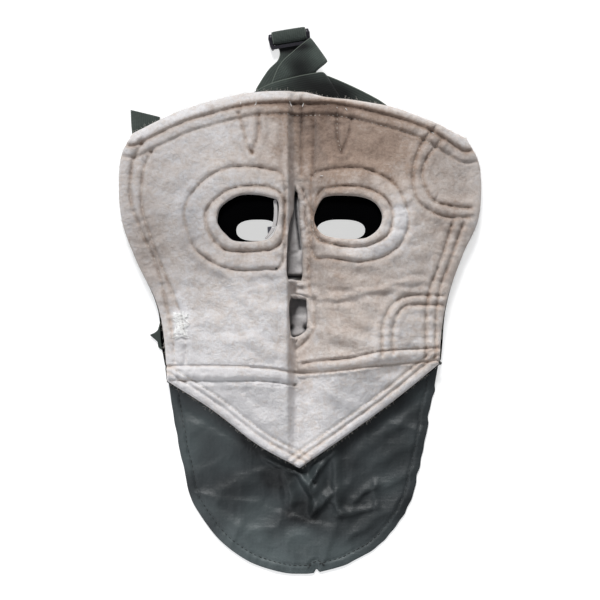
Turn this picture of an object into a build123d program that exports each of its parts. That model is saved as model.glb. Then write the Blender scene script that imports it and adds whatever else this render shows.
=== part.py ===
"""Cold-weather face mask with a felt lining, a cotton shell, a coated bib and webbing straps.

The mask lies with its lining up: +Z is the lining side, +Y points to the forehead and +X to the
right. The origin is the middle of the base that it lies on. Every length is in millimetres.
"""
import os
from math import atan2, cos, degrees, hypot, pi, sqrt

from build123d import *

# ---------------------------------------------------------------- driving dimensions
HALF_WIDTH = 134.0          # centre line to the tip of a temple wing
TOP_Y = 155.0               # forehead edge of the felt at the centre line
APEX_Y = -124.0             # point of the chin
CHIN_SEAM_Y = -50.0         # seam between the face panels and the chin panels
BIB_END_Y = -203.8          # lower end of the throat bib

LINING = 3.4                # felt
SHELL = 1.0                 # cotton cloth
PLY_GAP = 0.4               # air between two plies
PATCH = 0.9                 # anchor patches under the straps
PATCH_GAP = 0.3             # air above and below a patch
UNDER_SHELL = LINING + PLY_GAP + SHELL + PATCH_GAP
BIB_CLOTH = 1.2             # coated nylon with its backing
WEBBING = 1.2               # strap thickness
STRAP_WIDTH = 25.0          # one inch webbing
STRAP_LEVEL = 2.0           # underside of a strap that lies flat

LEFT_CREST_X = -10.0        # top of the fold on the left of the nose valley
RIGHT_CREST_X = 26.0        # top of the fold on its right
VALLEY_LEFT_X = -3.0        # foot of the steep left wall
VALLEY_RIGHT_X = 3.0        # foot of the gentle right wall
CREST_Y = 20.0              # station where the crests are highest
CREST_HIGH = 32.0
CREST_TOP_EDGE = 17.0       # crest height at the forehead edge
CREST_APEX = 10.5           # crest height at the chin point
VALLEY_FACE = 11.0
VALLEY_TOP_EDGE = 12.6
VALLEY_APEX = 9.0
EDGE_HIGH = 8.5             # lining surface where the sides come down

WING_FOLD_TOP = (66.0, 158.0)       # where the temple fold meets the forehead edge
WING_FOLD_FOOT = (111.0, -2.0)      # where it meets the side edge
FOLD_GAP = 0.5
THROAT_FOLD_Y = -140.0

EYE_HOLES = {"left": (-38.0, 59.0, 22.6, 17.2), "right": (35.0, 59.0, 24.8, 15.6)}
EYE_ROLLS = {"left": (-38.8, 59.0, 29.5, 23.5), "right": (37.0, 60.0, 30.5, 21.8)}
SHELL_EYES = {"left": (-31.8, 50.2, 14.8, 7.8), "right": (30.0, 50.4, 17.6, 7.6)}

LEFT_SEAM_X = -2.0          # centre seam, along the valley floor
LOW_STRAP_LEVEL = 0.5
TOP_STRAP_LEVEL = 5.4
CROWN_BUCKLE = (-7.8, 196.0)
CROWN_ALONG = (-0.165, 0.9863)      # the webbing's direction through the crown buckle
JAW_LEFT = ((0.0, -58.0), (-100.0, -27.0))
JAW_RIGHT = ((97.0, -14.2), (6.0, -62.0))
JAW_BUCKLE = (50.0, -38.9)
BIB_MIDDLE = (1.0, -118.0)
HEM_SCALE = 0.935           # inner edge of the bib's hem, against its outline
SHELL_GROWTH = 1.0075       # the shell stands about 1 mm proud of the lining all round
COVER_FLARE = 10.0          # degrees that the covers' sides lean out


# ---------------------------------------------------------------- the draped surface
def ease(t):
    t = min(max(t, 0.0), 1.0)
    return t * t * (3.0 - 2.0 * t)


def crest_height(y):
    if y > CREST_Y:
        return CREST_HIGH - (CREST_HIGH - CREST_TOP_EDGE) * ((y - CREST_Y) / (TOP_Y - CREST_Y)) ** 2
    return CREST_HIGH - (CREST_HIGH - CREST_APEX) * ((CREST_Y - y) / (CREST_Y - APEX_Y)) ** 2


def valley_height(y):
    forehead = (VALLEY_TOP_EDGE - VALLEY_FACE) * ease((y - 60.0) / 90.0)
    chin = (VALLEY_FACE - VALLEY_APEX) * ease((-40.0 - y) / 80.0)
    return VALLEY_FACE + forehead - chin


def chin_edge_y(x):
    """Y of the chin panels' lower edge."""
    slope = 0.66 if x < 0 else 0.76
    return APEX_Y - 7.0 + slope * sqrt(x * x + 100.0)


def surface_z(x, y):
    """Height of the lining's upper surface."""
    high = crest_height(y)
    low = valley_height(y)
    reach = 112.0 + 28.0 * ease((y + 10.0) / 90.0)
    if x <= LEFT_CREST_X:
        t = (LEFT_CREST_X - x) / (reach + LEFT_CREST_X)
        z = EDGE_HIGH + (high - EDGE_HIGH) * cos(min(t, 1.2) * pi / 2)
    elif x < VALLEY_LEFT_X:
        z = low + (high - low) * ease((VALLEY_LEFT_X - x) / (VALLEY_LEFT_X - LEFT_CREST_X))
    elif x <= VALLEY_RIGHT_X:
        z = low
    elif x < RIGHT_CREST_X:
        z = low + (high - low) * ease((x - VALLEY_RIGHT_X) / (RIGHT_CREST_X - VALLEY_RIGHT_X))
    else:
        t = (x - RIGHT_CREST_X) / (reach - RIGHT_CREST_X)
        z = EDGE_HIGH + (high - EDGE_HIGH) * cos(min(t, 1.2) * pi / 2)
    settle = 0.3 + 0.7 * ease((y - chin_edge_y(x)) / 50.0)
    return EDGE_HIGH + (z - EDGE_HIGH) * settle


def stations(stops):
    """Evenly divided runs between stops given as (position, step)."""
    out = []
    for (start, step), (end, _) in zip(stops, stops[1:]):
        count = round((end - start) / step)
        out += [start + (end - start) * i / count for i in range(count)]
    return out + [stops[-1][0]]


def drape_face():
    xs = stations([(-146.0, 8.0), (-26.0, 2.0), (-12.0, 1.0), (6.0, 2.0), (34.0, 8.0), (146.0, 8.0)])
    ys = stations([(-150.0, 9.0), (174.0, 9.0)])
    grid = [[Vector(x, y, surface_z(x, y)) for y in ys] for x in xs]
    return Face.make_surface_from_array_of_points(grid, tol=0.02)


DRAPE = drape_face()
BLOCKS = {}


def layer(outline, drop, thickness):
    """A ply with the outline's plan shape, its top that far below the lining's surface."""
    key = (drop, thickness)
    if key not in BLOCKS:
        base = DRAPE.moved(Location((0, 0, -drop - thickness)))
        BLOCKS[key] = Solid.extrude(base, Vector(0, 0, thickness))
    prism = extrude(Plane.XY.offset(-5) * outline, 60)
    return prism & BLOCKS[key]


# ---------------------------------------------------------------- plan shapes
def region(*points):
    return make_face(Polyline(*points, close=True))


def slab(outline, low, high):
    return extrude(Plane.XY.offset(low) * outline, high - low)


def felt_outline():
    top = Spline((-125, 124), (-102, 135), (-79, 144), (-39, 153.5), (0, TOP_Y), (30, 153.5),
                 (64, 146), (96, 136), (124, 120))
    left = Spline((-125, 124), (-HALF_WIDTH, 103), (-133, 62), (-121, 28), (-107, 0), (-101, -24),
                  (-98, -60))
    right = Spline((124, 120), (HALF_WIDTH, 99), (133, 62), (121, 34), (110, 4), (105, -20),
                   (103, -47))
    chin_left = Spline((-98, -60), (-65, -81), (-31, -107), (0, APEX_Y))
    chin_right = Spline((0, APEX_Y), (37, -98), (71, -73), (103, -47))
    return make_face(Wire([top.edge(), right.edge(), chin_right.edge(), chin_left.edge(), left.edge()]))


def half(side):
    outer = -200 if side == "left" else 200
    return region((outer, -220), (LEFT_SEAM_X, -220), (LEFT_SEAM_X, 220), (outer, 220))


def wing_region(side, gap):
    """Everything outside the temple fold, moved out by the gap."""
    sign = -1 if side == "left" else 1
    (x0, y0), (x1, y1) = WING_FOLD_TOP, WING_FOLD_FOOT
    dx, dy = x1 - x0, y1 - y0
    run = hypot(dx, dy)
    shift = Vector(-dy / run * gap, dx / run * gap)
    top = Vector(x0 - dx * 0.3, y0 - dy * 0.3) + shift
    foot = Vector(x1 + dx * 0.04, y1 + dy * 0.04) + shift
    corners = [(top.X, top.Y), (foot.X, foot.Y), (200, foot.Y), (200, top.Y)]
    return region(*[(sign * x, y) for x, y in corners])


def chin_region():
    return region((-140, CHIN_SEAM_Y + 1), (-60, CHIN_SEAM_Y + 1), (LEFT_SEAM_X, CHIN_SEAM_Y - 4),
                  (20, CHIN_SEAM_Y - 3), (60, CHIN_SEAM_Y + 1.5), (105, CHIN_SEAM_Y + 5),
                  (140, CHIN_SEAM_Y + 7), (140, -220), (-140, -220))


def rounded_hole(spec, roundness=0.86):
    x, y, a, b = spec
    return Pos(x, y) * RectangleRounded(2 * a, 2 * b, b * roundness)


def nose_slot(grow=0.0):
    face = region((-9, 14), (1.5, 15), (3.0, 48), (0.5, 78), (-3, 83), (-6.5, 78), (-9, 50))
    face = fillet(face.vertices(), 1.6)
    return offset(face, grow) if grow else face


def mouth_slot(grow=0.0):
    face = region((-7, 0.5), (5.5, 1.5), (6.0, -24), (-1, -31), (-7, -27))
    face = fillet(face.vertices(), 2.0)
    return offset(face, grow) if grow else face


def mirrored(side, *points):
    sign = -1 if side == "left" else 1
    return region(*[(sign * x, y) for x, y in points])


def temple_patch(side):
    """Stitched patch under a wing, open towards the wing's outer edge."""
    return Pos((-1 if side == "left" else 1) * 110, 93) * Ellipse(21, 29)


def jaw_patch(side):
    return mirrored(side, (62, -38), (62, -14), (70, -3), (88, 2), (103, 2), (99, -38))


def bib_outline():
    sides = Spline((-96, -62), (-92, -94), (-82, -144), (-60, -177), (-36, -194), (0, BIB_END_Y),
                   (36, -195), (59, -181), (79, -155), (89, -127), (95, -96), (101, -50))
    top = Polyline((101, -50), (68, -64), (34, -88), (4, -112), (-4, -112), (-34, -97), (-65, -71),
                   (-96, -62))
    return make_face(Wire(sides.edges() + top.edges()))


def below_fold(gap):
    return region((-150, THROAT_FOLD_Y - gap), (150, THROAT_FOLD_Y - gap), (150, -230), (-150, -230))


# ---------------------------------------------------------------- sub-parts
def save(name, part):
    export_step(part, f"parts/{name}.step")


def felt_and_shell():
    """Lining and shell panels: the face halves, the temple wings and the chin halves."""
    felt = felt_outline()
    cloth = scale(felt, by=SHELL_GROWTH)
    chin = chin_region()
    slots = nose_slot(2.6) + mouth_slot(2.6)
    for side in ("left", "right"):
        panel = half(side)
        wing = wing_region(side, 0.0)
        wing_outer = wing_region(side, FOLD_GAP)
        eye = rounded_hole(EYE_ROLLS[side])
        shell_eye = rounded_hole(SHELL_EYES[side])
        save(f"lining_{side}", layer(((felt & panel) - chin - wing - eye) - slots, 0, LINING))
        save(f"chin_lining_{side}", layer(felt & panel & chin, 0, LINING))
        save(f"temple_lining_{side}", layer(felt & wing_outer, 0, LINING))
        drop = LINING + PLY_GAP
        save(f"shell_{side}", layer(((cloth & panel) - chin - wing - shell_eye) - slots, drop, SHELL))
        save(f"chin_shell_{side}", layer(cloth & panel & chin, drop, SHELL))
        save(f"temple_shell_{side}", layer(cloth & wing_outer, drop, SHELL))


def hole_edges():
    """Rolled felt round the eye holes and the bound edges of the nose and mouth slots."""
    for side in ("left", "right"):
        roll = offset(rounded_hole(EYE_ROLLS[side]), -0.3) - rounded_hole(EYE_HOLES[side])
        save(f"eye_roll_{side}", layer(roll - nose_slot(2.9), -0.6, LINING + 0.6))
    save("nose_slot_binding", layer(nose_slot(2.3) - nose_slot(), -0.4, LINING + 0.4))
    save("mouth_slot_binding", layer(mouth_slot(2.3) - mouth_slot(), -0.4, LINING + 0.4))


def tray(outline, level, wall, drop):
    """A shallow cover with a flat bottom and flared sides that reach up to the shell."""
    depth = 40.0
    outer = extrude(Plane.XY.offset(level) * outline, depth, taper=-COVER_FLARE)
    inner = extrude(Plane.XY.offset(level + wall) * offset(outline, -wall), depth, taper=-COVER_FLARE)
    roof = DRAPE.moved(Location((0, 0, -drop)))
    above = Solid.extrude(roof, Vector(0, 0, 60))
    return outer - inner - above


def breathing_covers():
    """Nose cover and mouth cover on the outside, with their linings and the bendable stay."""
    nose = region((-10, 79), (7, 79), (9, 45), (28, 22), (26, 14), (-22, 14), (-24, 24), (-11, 45))
    nose = fillet(nose.vertices(), 3.0)
    mouth = region((-20, 2), (24, 2), (22, -20), (12, -37), (-12, -37), (-20, -20))
    mouth = fillet(mouth.vertices(), 4.0)
    for name, outline in (("nose", nose), ("mouth", mouth)):
        save(f"{name}_cover", tray(outline, 0.0, 1.0, UNDER_SHELL))
        save(f"{name}_cover_lining", tray(offset(outline, -1.9), 1.9, 1.2, UNDER_SHELL))
    save("nose_stay", slab(Pos(-1.5, 74) * Rectangle(13, 4), 1.15, 1.75))


def anchors():
    """Patches that carry the straps, sewn to the outside of the shell."""
    for side in ("left", "right"):
        temple = felt_outline() & wing_region(side, FOLD_GAP) & temple_patch(side)
        save(f"temple_anchor_{side}", layer(temple, UNDER_SHELL, PATCH))
        jaw = felt_outline() & jaw_patch(side)
        save(f"jaw_anchor_{side}", layer(jaw, UNDER_SHELL, PATCH))


def turned(centre, along, *points):
    """Points given as (across, along) a strap, in the plan's own coordinates."""
    ux, uy = along
    return [(centre[0] + a * uy + b * ux, centre[1] - a * ux + b * uy) for a, b in points]


def band(start, end, width=STRAP_WIDTH):
    """Plan shape of a straight strap between two points."""
    run = hypot(end[0] - start[0], end[1] - start[1])
    along = ((end[0] - start[0]) / run, (end[1] - start[1]) / run)
    half_width = width / 2
    return turned(start, along, (-half_width, 0), (half_width, 0), (half_width, run), (-half_width, run))


def straps():
    """Webbing: temple, crown and jaw straps and the loop that stands in front of the buckle."""
    under_patch = UNDER_SHELL + PATCH + PATCH_GAP
    tails = {
        "left": region((-98, 76), (-118, 92), (-126, 142), (-106, 146), (-100, 122)),
        "right": region((98, 76), (120, 84), (126, 117), (108, 126), (100, 122)),
    }
    for side, tail in tails.items():
        clear = wing_region(side, FOLD_GAP + 1.0)
        save(f"temple_strap_{side}", layer(tail & clear, under_patch, WEBBING))

    half_width = STRAP_WIDTH / 2
    straight = turned(CROWN_BUCKLE, CROWN_ALONG, (-half_width, -30), (-half_width, 4.5),
                      (half_width, 4.5), (half_width, -30))
    crown_left = region(*straight, (0, 150), (-62, 108), (-74, 130), (-33, 158))
    save("crown_strap_left", slab(crown_left, STRAP_LEVEL, STRAP_LEVEL + WEBBING))

    crown_right = region((-35, 155), (-22, 162), (15, 169.5), (19, 168), (57.5, 151), (64, 146),
                         (80, 128), (66, 106), (28, 140), (-20, 140), (-38, 148))
    loop = region((7.4, 195.5), (-4.5, 186), (-14.8, 176.5), (-21, 163), (12.2, 169.7), (19.2, 177.4))
    save("crown_strap_right", slab(crown_right, TOP_STRAP_LEVEL, TOP_STRAP_LEVEL + WEBBING))
    save("crown_strap_loop", slab(loop, TOP_STRAP_LEVEL, TOP_STRAP_LEVEL + WEBBING))

    inner, outer = JAW_LEFT
    corners = band(outer, inner)
    jaw_left = region(corners[0], corners[3], corners[2], corners[1], (-111, -27))
    save("jaw_strap_left", slab(jaw_left, LOW_STRAP_LEVEL, LOW_STRAP_LEVEL + WEBBING))
    jaw_right = region(*band(*JAW_RIGHT))
    save("jaw_strap_right", slab(jaw_right, STRAP_LEVEL, STRAP_LEVEL + WEBBING))


def buckle(centre, along):
    """Three-bar slide: two outer bars over the webbing, the middle bar under it."""
    slot_half = STRAP_WIDTH / 2 + 0.4
    rail = 1.5
    length = 11.0
    bar = 2.4
    frame = Part()
    for sign in (-1, 1):
        x = sign * (slot_half + rail / 2)
        frame += Pos(x, 0, 2.6) * Box(rail, length, 4.8)
        frame += Pos(0, sign * (length - bar) / 2, 4.25) * Box(2 * slot_half + rail, bar, 1.5)
    frame += Pos(0, 0, 0.9) * Box(2 * slot_half + rail, 3.0, 1.4)
    angle = degrees(atan2(along[1], along[0])) - 90
    return Pos(centre[0], centre[1]) * Rot(0, 0, angle) * frame


def buckles():
    save("crown_buckle", buckle(CROWN_BUCKLE, CROWN_ALONG))
    (x0, y0), (x1, y1) = JAW_RIGHT
    run = hypot(x1 - x0, y1 - y0)
    save("jaw_buckle", buckle(JAW_BUCKLE, ((x0 - x1) / run, (y0 - y1) / run)))


def bib():
    """Throat bib in two parts, with a hem turned up round its edge."""
    cloth = bib_outline()
    middle = Vector(BIB_MIDDLE)
    inner = Pos(middle) * scale(Pos(-middle) * cloth, by=HEM_SCALE)
    rim = (cloth - inner) & region((-150, -68), (150, -68), (150, -230), (-150, -230))
    upper = cloth - below_fold(0)
    lower = cloth & below_fold(FOLD_GAP)
    save("bib_upper", slab(upper, 0, BIB_CLOTH))
    save("bib_lower", slab(lower, 0, BIB_CLOTH))
    hem_low = BIB_CLOTH + 0.05
    save("bib_hem_upper", slab(rim - below_fold(0), hem_low, hem_low + 0.7))
    save("bib_hem_lower", slab(rim & below_fold(FOLD_GAP), hem_low, hem_low + 0.7))


felt_and_shell()
hole_edges()
breathing_covers()
anchors()
straps()
buckles()
bib()
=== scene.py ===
from math import cos, hypot, pi, radians, sin

import bpy
import numpy as np
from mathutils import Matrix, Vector
from mathutils.geometry import delaunay_2d_cdt


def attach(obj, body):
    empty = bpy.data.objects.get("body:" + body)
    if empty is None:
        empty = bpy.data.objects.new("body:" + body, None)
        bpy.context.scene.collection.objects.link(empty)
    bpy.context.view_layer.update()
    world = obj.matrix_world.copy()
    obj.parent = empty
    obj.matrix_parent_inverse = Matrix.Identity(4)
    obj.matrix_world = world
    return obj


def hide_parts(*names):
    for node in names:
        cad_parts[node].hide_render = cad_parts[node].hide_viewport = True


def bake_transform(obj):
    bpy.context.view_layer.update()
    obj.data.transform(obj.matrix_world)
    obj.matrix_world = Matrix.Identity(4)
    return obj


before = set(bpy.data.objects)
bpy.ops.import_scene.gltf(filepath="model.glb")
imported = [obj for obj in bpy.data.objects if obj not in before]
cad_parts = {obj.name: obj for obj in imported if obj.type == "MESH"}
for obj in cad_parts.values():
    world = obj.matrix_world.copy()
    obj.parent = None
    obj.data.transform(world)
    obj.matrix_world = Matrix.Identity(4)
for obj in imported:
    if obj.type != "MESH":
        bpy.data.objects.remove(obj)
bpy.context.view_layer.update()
MM = 0.001

# ------------------------------------------------------------------ camera, light and floor
CAMERA_HEIGHT = 1.15
FRAME_WIDTH = 0.444          # what the picture spans at the height of the felt's edge
LOOK_AT = Vector((0.0, 0.0, 0.010))


def make_camera():
    data = bpy.data.cameras.new("camera")
    data.sensor_width = 36.0
    data.lens = 36.0 * CAMERA_HEIGHT / FRAME_WIDTH
    camera = bpy.data.objects.new("camera", data)
    bpy.context.scene.collection.objects.link(camera)
    tilt = radians(3.0)
    camera.location = LOOK_AT + Vector((0, -sin(tilt), cos(tilt))) * CAMERA_HEIGHT
    camera.rotation_euler = (tilt, 0, 0)
    bpy.context.scene.camera = camera


def make_light(name, location, target, size, power, tint=(1, 1, 1)):
    data = bpy.data.lights.new(name, "AREA")
    data.size = size
    data.energy = power
    data.color = tint
    lamp = bpy.data.objects.new(name, data)
    bpy.context.scene.collection.objects.link(lamp)
    lamp.location = location
    lamp.rotation_euler = (Vector(target) - Vector(location)).to_track_quat("-Z", "Y").to_euler()


def make_stage():
    world = bpy.data.worlds.new("studio")
    world.use_nodes = True
    background = world.node_tree.nodes["Background"]
    background.inputs["Color"].default_value = (0.93, 0.96, 1.0, 1.0)
    background.inputs["Strength"].default_value = 0.20
    bpy.context.scene.world = world
    bpy.context.scene.view_settings.view_transform = "Standard"

    sun = bpy.data.lights.new("window", "SUN")
    sun.energy = 3.0
    sun.angle = radians(16)
    lamp = bpy.data.objects.new("window", sun)
    bpy.context.scene.collection.objects.link(lamp)
    lamp.rotation_euler = Vector((0.10, -0.80, -0.62)).to_track_quat("-Z", "Y").to_euler()
    make_light("fill", (-0.7, -0.75, 0.9), (0, -0.05, 0), 0.7, 4.5, (0.93, 0.96, 1.0))

    size = 6.0
    mesh = bpy.data.meshes.new("floor")
    low = -0.0004
    mesh.from_pydata([(-size, -size, low), (size, -size, low), (size, size, low), (-size, size, low)],
                     [], [(0, 1, 2, 3)])
    floor = bpy.data.objects.new("floor", mesh)
    bpy.context.scene.collection.objects.link(floor)
    material = bpy.data.materials.new("floor")
    material.use_nodes = True
    shader = material.node_tree.nodes["Principled BSDF"]
    shader.inputs["Base Color"].default_value = (0.6, 0.6, 0.6, 1)
    shader.inputs["Roughness"].default_value = 0.9
    shader.inputs["Emission Color"].default_value = (1, 1, 1, 1)
    shader.inputs["Emission Strength"].default_value = 0.62
    mesh.materials.append(material)


make_camera()
make_stage()

# ------------------------------------------------------------------ draped surface, in millimetres
TOP_Y, APEX_Y, CREST_Y = 155.0, -124.0, 20.0
LEFT_CREST_X, RIGHT_CREST_X = -10.0, 26.0
VALLEY_LEFT_X, VALLEY_RIGHT_X = -3.0, 3.0
CREST_HIGH, CREST_TOP_EDGE, CREST_APEX = 32.0, 17.0, 10.5
VALLEY_FACE, VALLEY_TOP_EDGE, VALLEY_APEX = 11.0, 12.6, 9.0
EDGE_HIGH = 8.5
LINING, SHELL, PLY_GAP = 3.4, 1.0, 0.4
SIGN = {"left": -1, "right": 1}
CENTRE_X = -2.0
SEAM_LAP = 1.3               # how far the halves reach under each other at the centre seam


def bell(d, width):
    """One at zero, dying away smoothly over the width."""
    return np.exp(-((d / width) ** 2))


def spot(x, y, cx, cy, wide, high):
    """A soft spot: one at its middle cx, cy, dying away over wide across and high up."""
    return np.exp(-(((x - cx) / wide) ** 2) - (((y - cy) / high) ** 2))


def spots(x, y, table):
    """The sum of soft spots. Each row has a middle x, y, a reach across and up, and a strength."""
    return sum(strength * spot(x, y, cx, cy, wide, high) for cx, cy, wide, high, strength in table)


def dome(share):
    """A rounded bump over the shares from 0 to 1."""
    return np.sqrt(np.clip(4 * share * (1 - share), 0, 1))


def ease(t):
    t = np.clip(t, 0.0, 1.0)
    return t * t * (3.0 - 2.0 * t)


def surface(x, y):
    """Height of the lining's upper surface, as the CAD has it."""
    up = (y - CREST_Y) / (TOP_Y - CREST_Y)
    down = (CREST_Y - y) / (CREST_Y - APEX_Y)
    high = np.where(y > CREST_Y, CREST_HIGH - (CREST_HIGH - CREST_TOP_EDGE) * up**2,
                    CREST_HIGH - (CREST_HIGH - CREST_APEX) * down**2)
    low = (VALLEY_FACE + (VALLEY_TOP_EDGE - VALLEY_FACE) * ease((y - 60.0) / 90.0)
           - (VALLEY_FACE - VALLEY_APEX) * ease((-40.0 - y) / 80.0))
    reach = 112.0 + 28.0 * ease((y + 10.0) / 90.0)
    t_left = np.clip((LEFT_CREST_X - x) / (reach + LEFT_CREST_X), 0, 1.2)
    t_right = np.clip((x - RIGHT_CREST_X) / (reach - RIGHT_CREST_X), 0, 1.2)
    wall_left = ease((VALLEY_LEFT_X - x) / (VALLEY_LEFT_X - LEFT_CREST_X))
    wall_right = ease((x - VALLEY_RIGHT_X) / (RIGHT_CREST_X - VALLEY_RIGHT_X))
    z = low + (high - low) * np.maximum(wall_left, wall_right)
    side = np.cos(np.maximum(t_left, t_right) * pi / 2)
    z = np.where((x < LEFT_CREST_X) | (x > RIGHT_CREST_X), EDGE_HIGH + (high - EDGE_HIGH) * side, z)
    chin_edge = APEX_Y - 7.0 + np.where(x < 0, 0.66, 0.76) * np.sqrt(x * x + 100.0)
    settle = 0.3 + 0.7 * ease((y - chin_edge) / 50.0)
    return EDGE_HIGH + (z - EDGE_HIGH) * settle


# ------------------------------------------------------------------ plan curves and distances
def smooth(points, step=1.5, closed=False):
    """A Catmull-Rom curve through the points, sampled evenly."""
    p = np.array(points, float)
    count = len(p)
    spans = count if closed else count - 1
    out = []
    for i in range(spans):
        if closed:
            a, b, c, d = (p[(i + k) % count] for k in (-1, 0, 1, 2))
        else:
            b, c = p[i], p[i + 1]
            a = p[i - 1] if i else 2 * b - c
            d = p[i + 2] if i + 2 < count else 2 * c - b
        n = max(2, int(np.linalg.norm(c - b) / step))
        t = np.linspace(0, 1, n, endpoint=False)[:, None]
        out.append(0.5 * (2 * b + (c - a) * t + (2 * a - 5 * b + 4 * c - d) * t**2
                          + (3 * b - a - 3 * c + d) * t**3))
    if not closed:
        out.append(p[-1:])
    return np.concatenate(out)


def straight(points, step=1.5, closed=False):
    """Corners joined by straight runs, sampled evenly."""
    p = [np.array(q, float) for q in points]
    if closed:
        p.append(p[0])
    out = []
    for a, b in zip(p, p[1:]):
        n = max(1, int(round(np.linalg.norm(b - a) / step)))
        out += [a + (b - a) * k / n for k in range(n)]
    return np.array(out if closed else out + [p[-1]])


def distance(points, line, closed=False):
    """Each point's distance to a line, and how far along the line its nearest point is."""
    ends = np.roll(line, -1, axis=0) if closed else line[1:]
    starts = line if closed else line[:-1]
    lengths = np.linalg.norm(ends - starts, axis=1)
    before = np.concatenate([[0.0], np.cumsum(lengths)])[:-1]
    best = np.full(len(points), 1e9)
    along = np.zeros(len(points))
    for a, b, length, start in zip(starts, ends, lengths, before):
        if length < 1e-9:
            continue
        t = np.clip(((points - a) @ (b - a)) / length**2, 0, 1)
        d = np.linalg.norm(points - a - t[:, None] * (b - a), axis=1)
        near = d < best
        best[near] = d[near]
        along[near] = start + t[near] * length
    return best, along


def inside(points, loop):
    """Whether each point lies inside a closed loop."""
    x, y = points[:, 0], points[:, 1]
    hit = np.zeros(len(points), bool)
    for (x0, y0), (x1, y1) in zip(loop, np.roll(loop, -1, axis=0)):
        if y0 == y1:
            continue
        crosses = (y0 > y) != (y1 > y)
        hit ^= crosses & (x < (x1 - x0) * (y - y0) / (y1 - y0) + x0)
    return hit


def noise(x, y, size, seed):
    """Smooth noise from -1 to 1 in cells of that size."""
    table = np.random.default_rng(seed).uniform(-1, 1, (97, 97))
    u, v = np.asarray(x) / size + 5000.0, np.asarray(y) / size + 5000.0
    i, j = np.floor(u).astype(int), np.floor(v).astype(int)
    f, g = ease(u - i), ease(v - j)
    a, b = table[i % 97, j % 97], table[(i + 1) % 97, j % 97]
    c, d = table[i % 97, (j + 1) % 97], table[(i + 1) % 97, (j + 1) % 97]
    return (a * (1 - f) + b * f) * (1 - g) + (c * (1 - f) + d * f) * g


def rounded(spec, nose_side=0, count=96):
    """A rounded hole's outline, squarer towards the nose. spec is centre x, y and half sizes."""
    cx, cy, a, b = spec
    angle = np.linspace(0, 2 * pi, count, endpoint=False)
    c, s = np.cos(angle), np.sin(angle)
    power = np.where(c * nose_side > 0, 0.66, 0.82)
    return np.stack([cx + a * np.sign(c) * np.abs(c) ** power,
                     cy + b * np.sign(s) * np.abs(s) ** power], axis=1)


# ------------------------------------------------------------------ outlines
TOP_EDGE = smooth([(-125, 124), (-102, 135), (-79, 144), (-39, 153.5), (0, 155), (30, 153.5), (64, 146),
                   (96, 136), (124, 120)])
TOP_RIM = smooth([(-125, 124), (-102, 135), (-79, 144), (-39, 153.5), (-2, 155), (9, 153.4), (20, 150.2),
                  (35, 148.6), (51, 146), (67, 143), (84, 137.6), (100, 131.4), (114, 124.6), (124, 120)])
LEFT_EDGE = smooth([(-125, 124), (-134, 103), (-133, 62), (-121, 28), (-107, 0), (-101, -24), (-98, -60)])
RIGHT_EDGE = smooth([(124, 120), (134, 99), (133, 62), (121, 34), (110, 4), (105, -20), (103, -47)])
V_LEFT = smooth([(-98, -60), (-65, -81), (-31, -107), (0, -124)])
V_RIGHT = smooth([(0, -124), (37, -98), (71, -73), (103, -47)])
FELT = np.concatenate([TOP_RIM[:-1], RIGHT_EDGE[:-1], V_RIGHT[::-1][:-1], V_LEFT[::-1][:-1],
                       LEFT_EDGE[::-1][:-1]])
EYES = {
    "left": [(-60.3, 58.2), (-57.3, 67.5), (-45, 75.4), (-31.8, 76), (-22, 74), (-16.2, 71), (-16, 60),
             (-18.6, 49), (-25, 42.8), (-46.2, 42), (-54, 47), (-59, 53)],
    "right": [(10.5, 61.6), (15.6, 72.6), (21.5, 75.2), (40.6, 75), (52, 72), (58, 66), (60, 59),
              (57, 51), (48.5, 44.6), (38, 43.6), (25.8, 44.3), (17, 47.4), (12, 54)]}
EYE_ROLLS = {
    "left": [(-69.4, 60), (-65.8, 69.4), (-55, 78.4), (-44, 82), (-29, 82.6), (-18.5, 80), (-12, 73),
             (-11.5, 58), (-13, 43), (-18, 36.8), (-28, 34.8), (-44.5, 34.6), (-55, 36), (-65, 45)],
    "right": [(9.4, 62), (14.4, 78.6), (23.2, 81.4), (36.3, 82.4), (49.3, 80.8), (59, 76.4),
              (65.1, 70.4), (68, 60), (65.8, 48.5), (57.2, 42), (46.7, 38.4), (34.5, 38), (23, 40),
              (14, 44), (9.6, 52)]}
EYE_RINGS = {
    "left": [(-85, 60), (-82.8, 72), (-76.8, 81), (-66.6, 90.4), (-53, 96.2), (-39.4, 97.4),
             (-25, 95.4), (-12, 89), (-11, 60), (-13, 25), (-27, 21.4), (-40, 20.6), (-56.8, 23.4),
             (-70, 31), (-79, 40)],
    "right": [(9, 60), (9.2, 91), (23, 94.8), (36.3, 96.2), (49.3, 94.8), (62.4, 89.4), (71.2, 81.7),
              (78.6, 66), (79.8, 57), (77, 46), (71.2, 38), (60.7, 31), (45, 27), (32, 28.4), (20.5, 30),
              (10, 33)]}
EYES, EYE_ROLLS, EYE_RINGS = ({side: smooth(points, closed=True) for side, points in table.items()}
                              for table in (EYES, EYE_ROLLS, EYE_RINGS))
SHELL_EYES = {"left": rounded((-31.8, 50.2, 14.8, 7.8), 1), "right": rounded((30, 50.4, 17.6, 7.6), -1)}
NOSE_SLOT = smooth([(-8.8, 14.6), (1.4, 15.4), (1.4, 41), (-0.6, 57), (-0.8, 72), (-2.8, 83.5), (-4.4, 76),
                    (-4.8, 66), (-7.2, 57), (-9.0, 41)], closed=True)
MOUTH_SLOT = smooth([(-6.9, 0.4), (4.4, -0.4), (4.9, -21.5), (-3.6, -27.4), (-6.9, -24)], closed=True)


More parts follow.
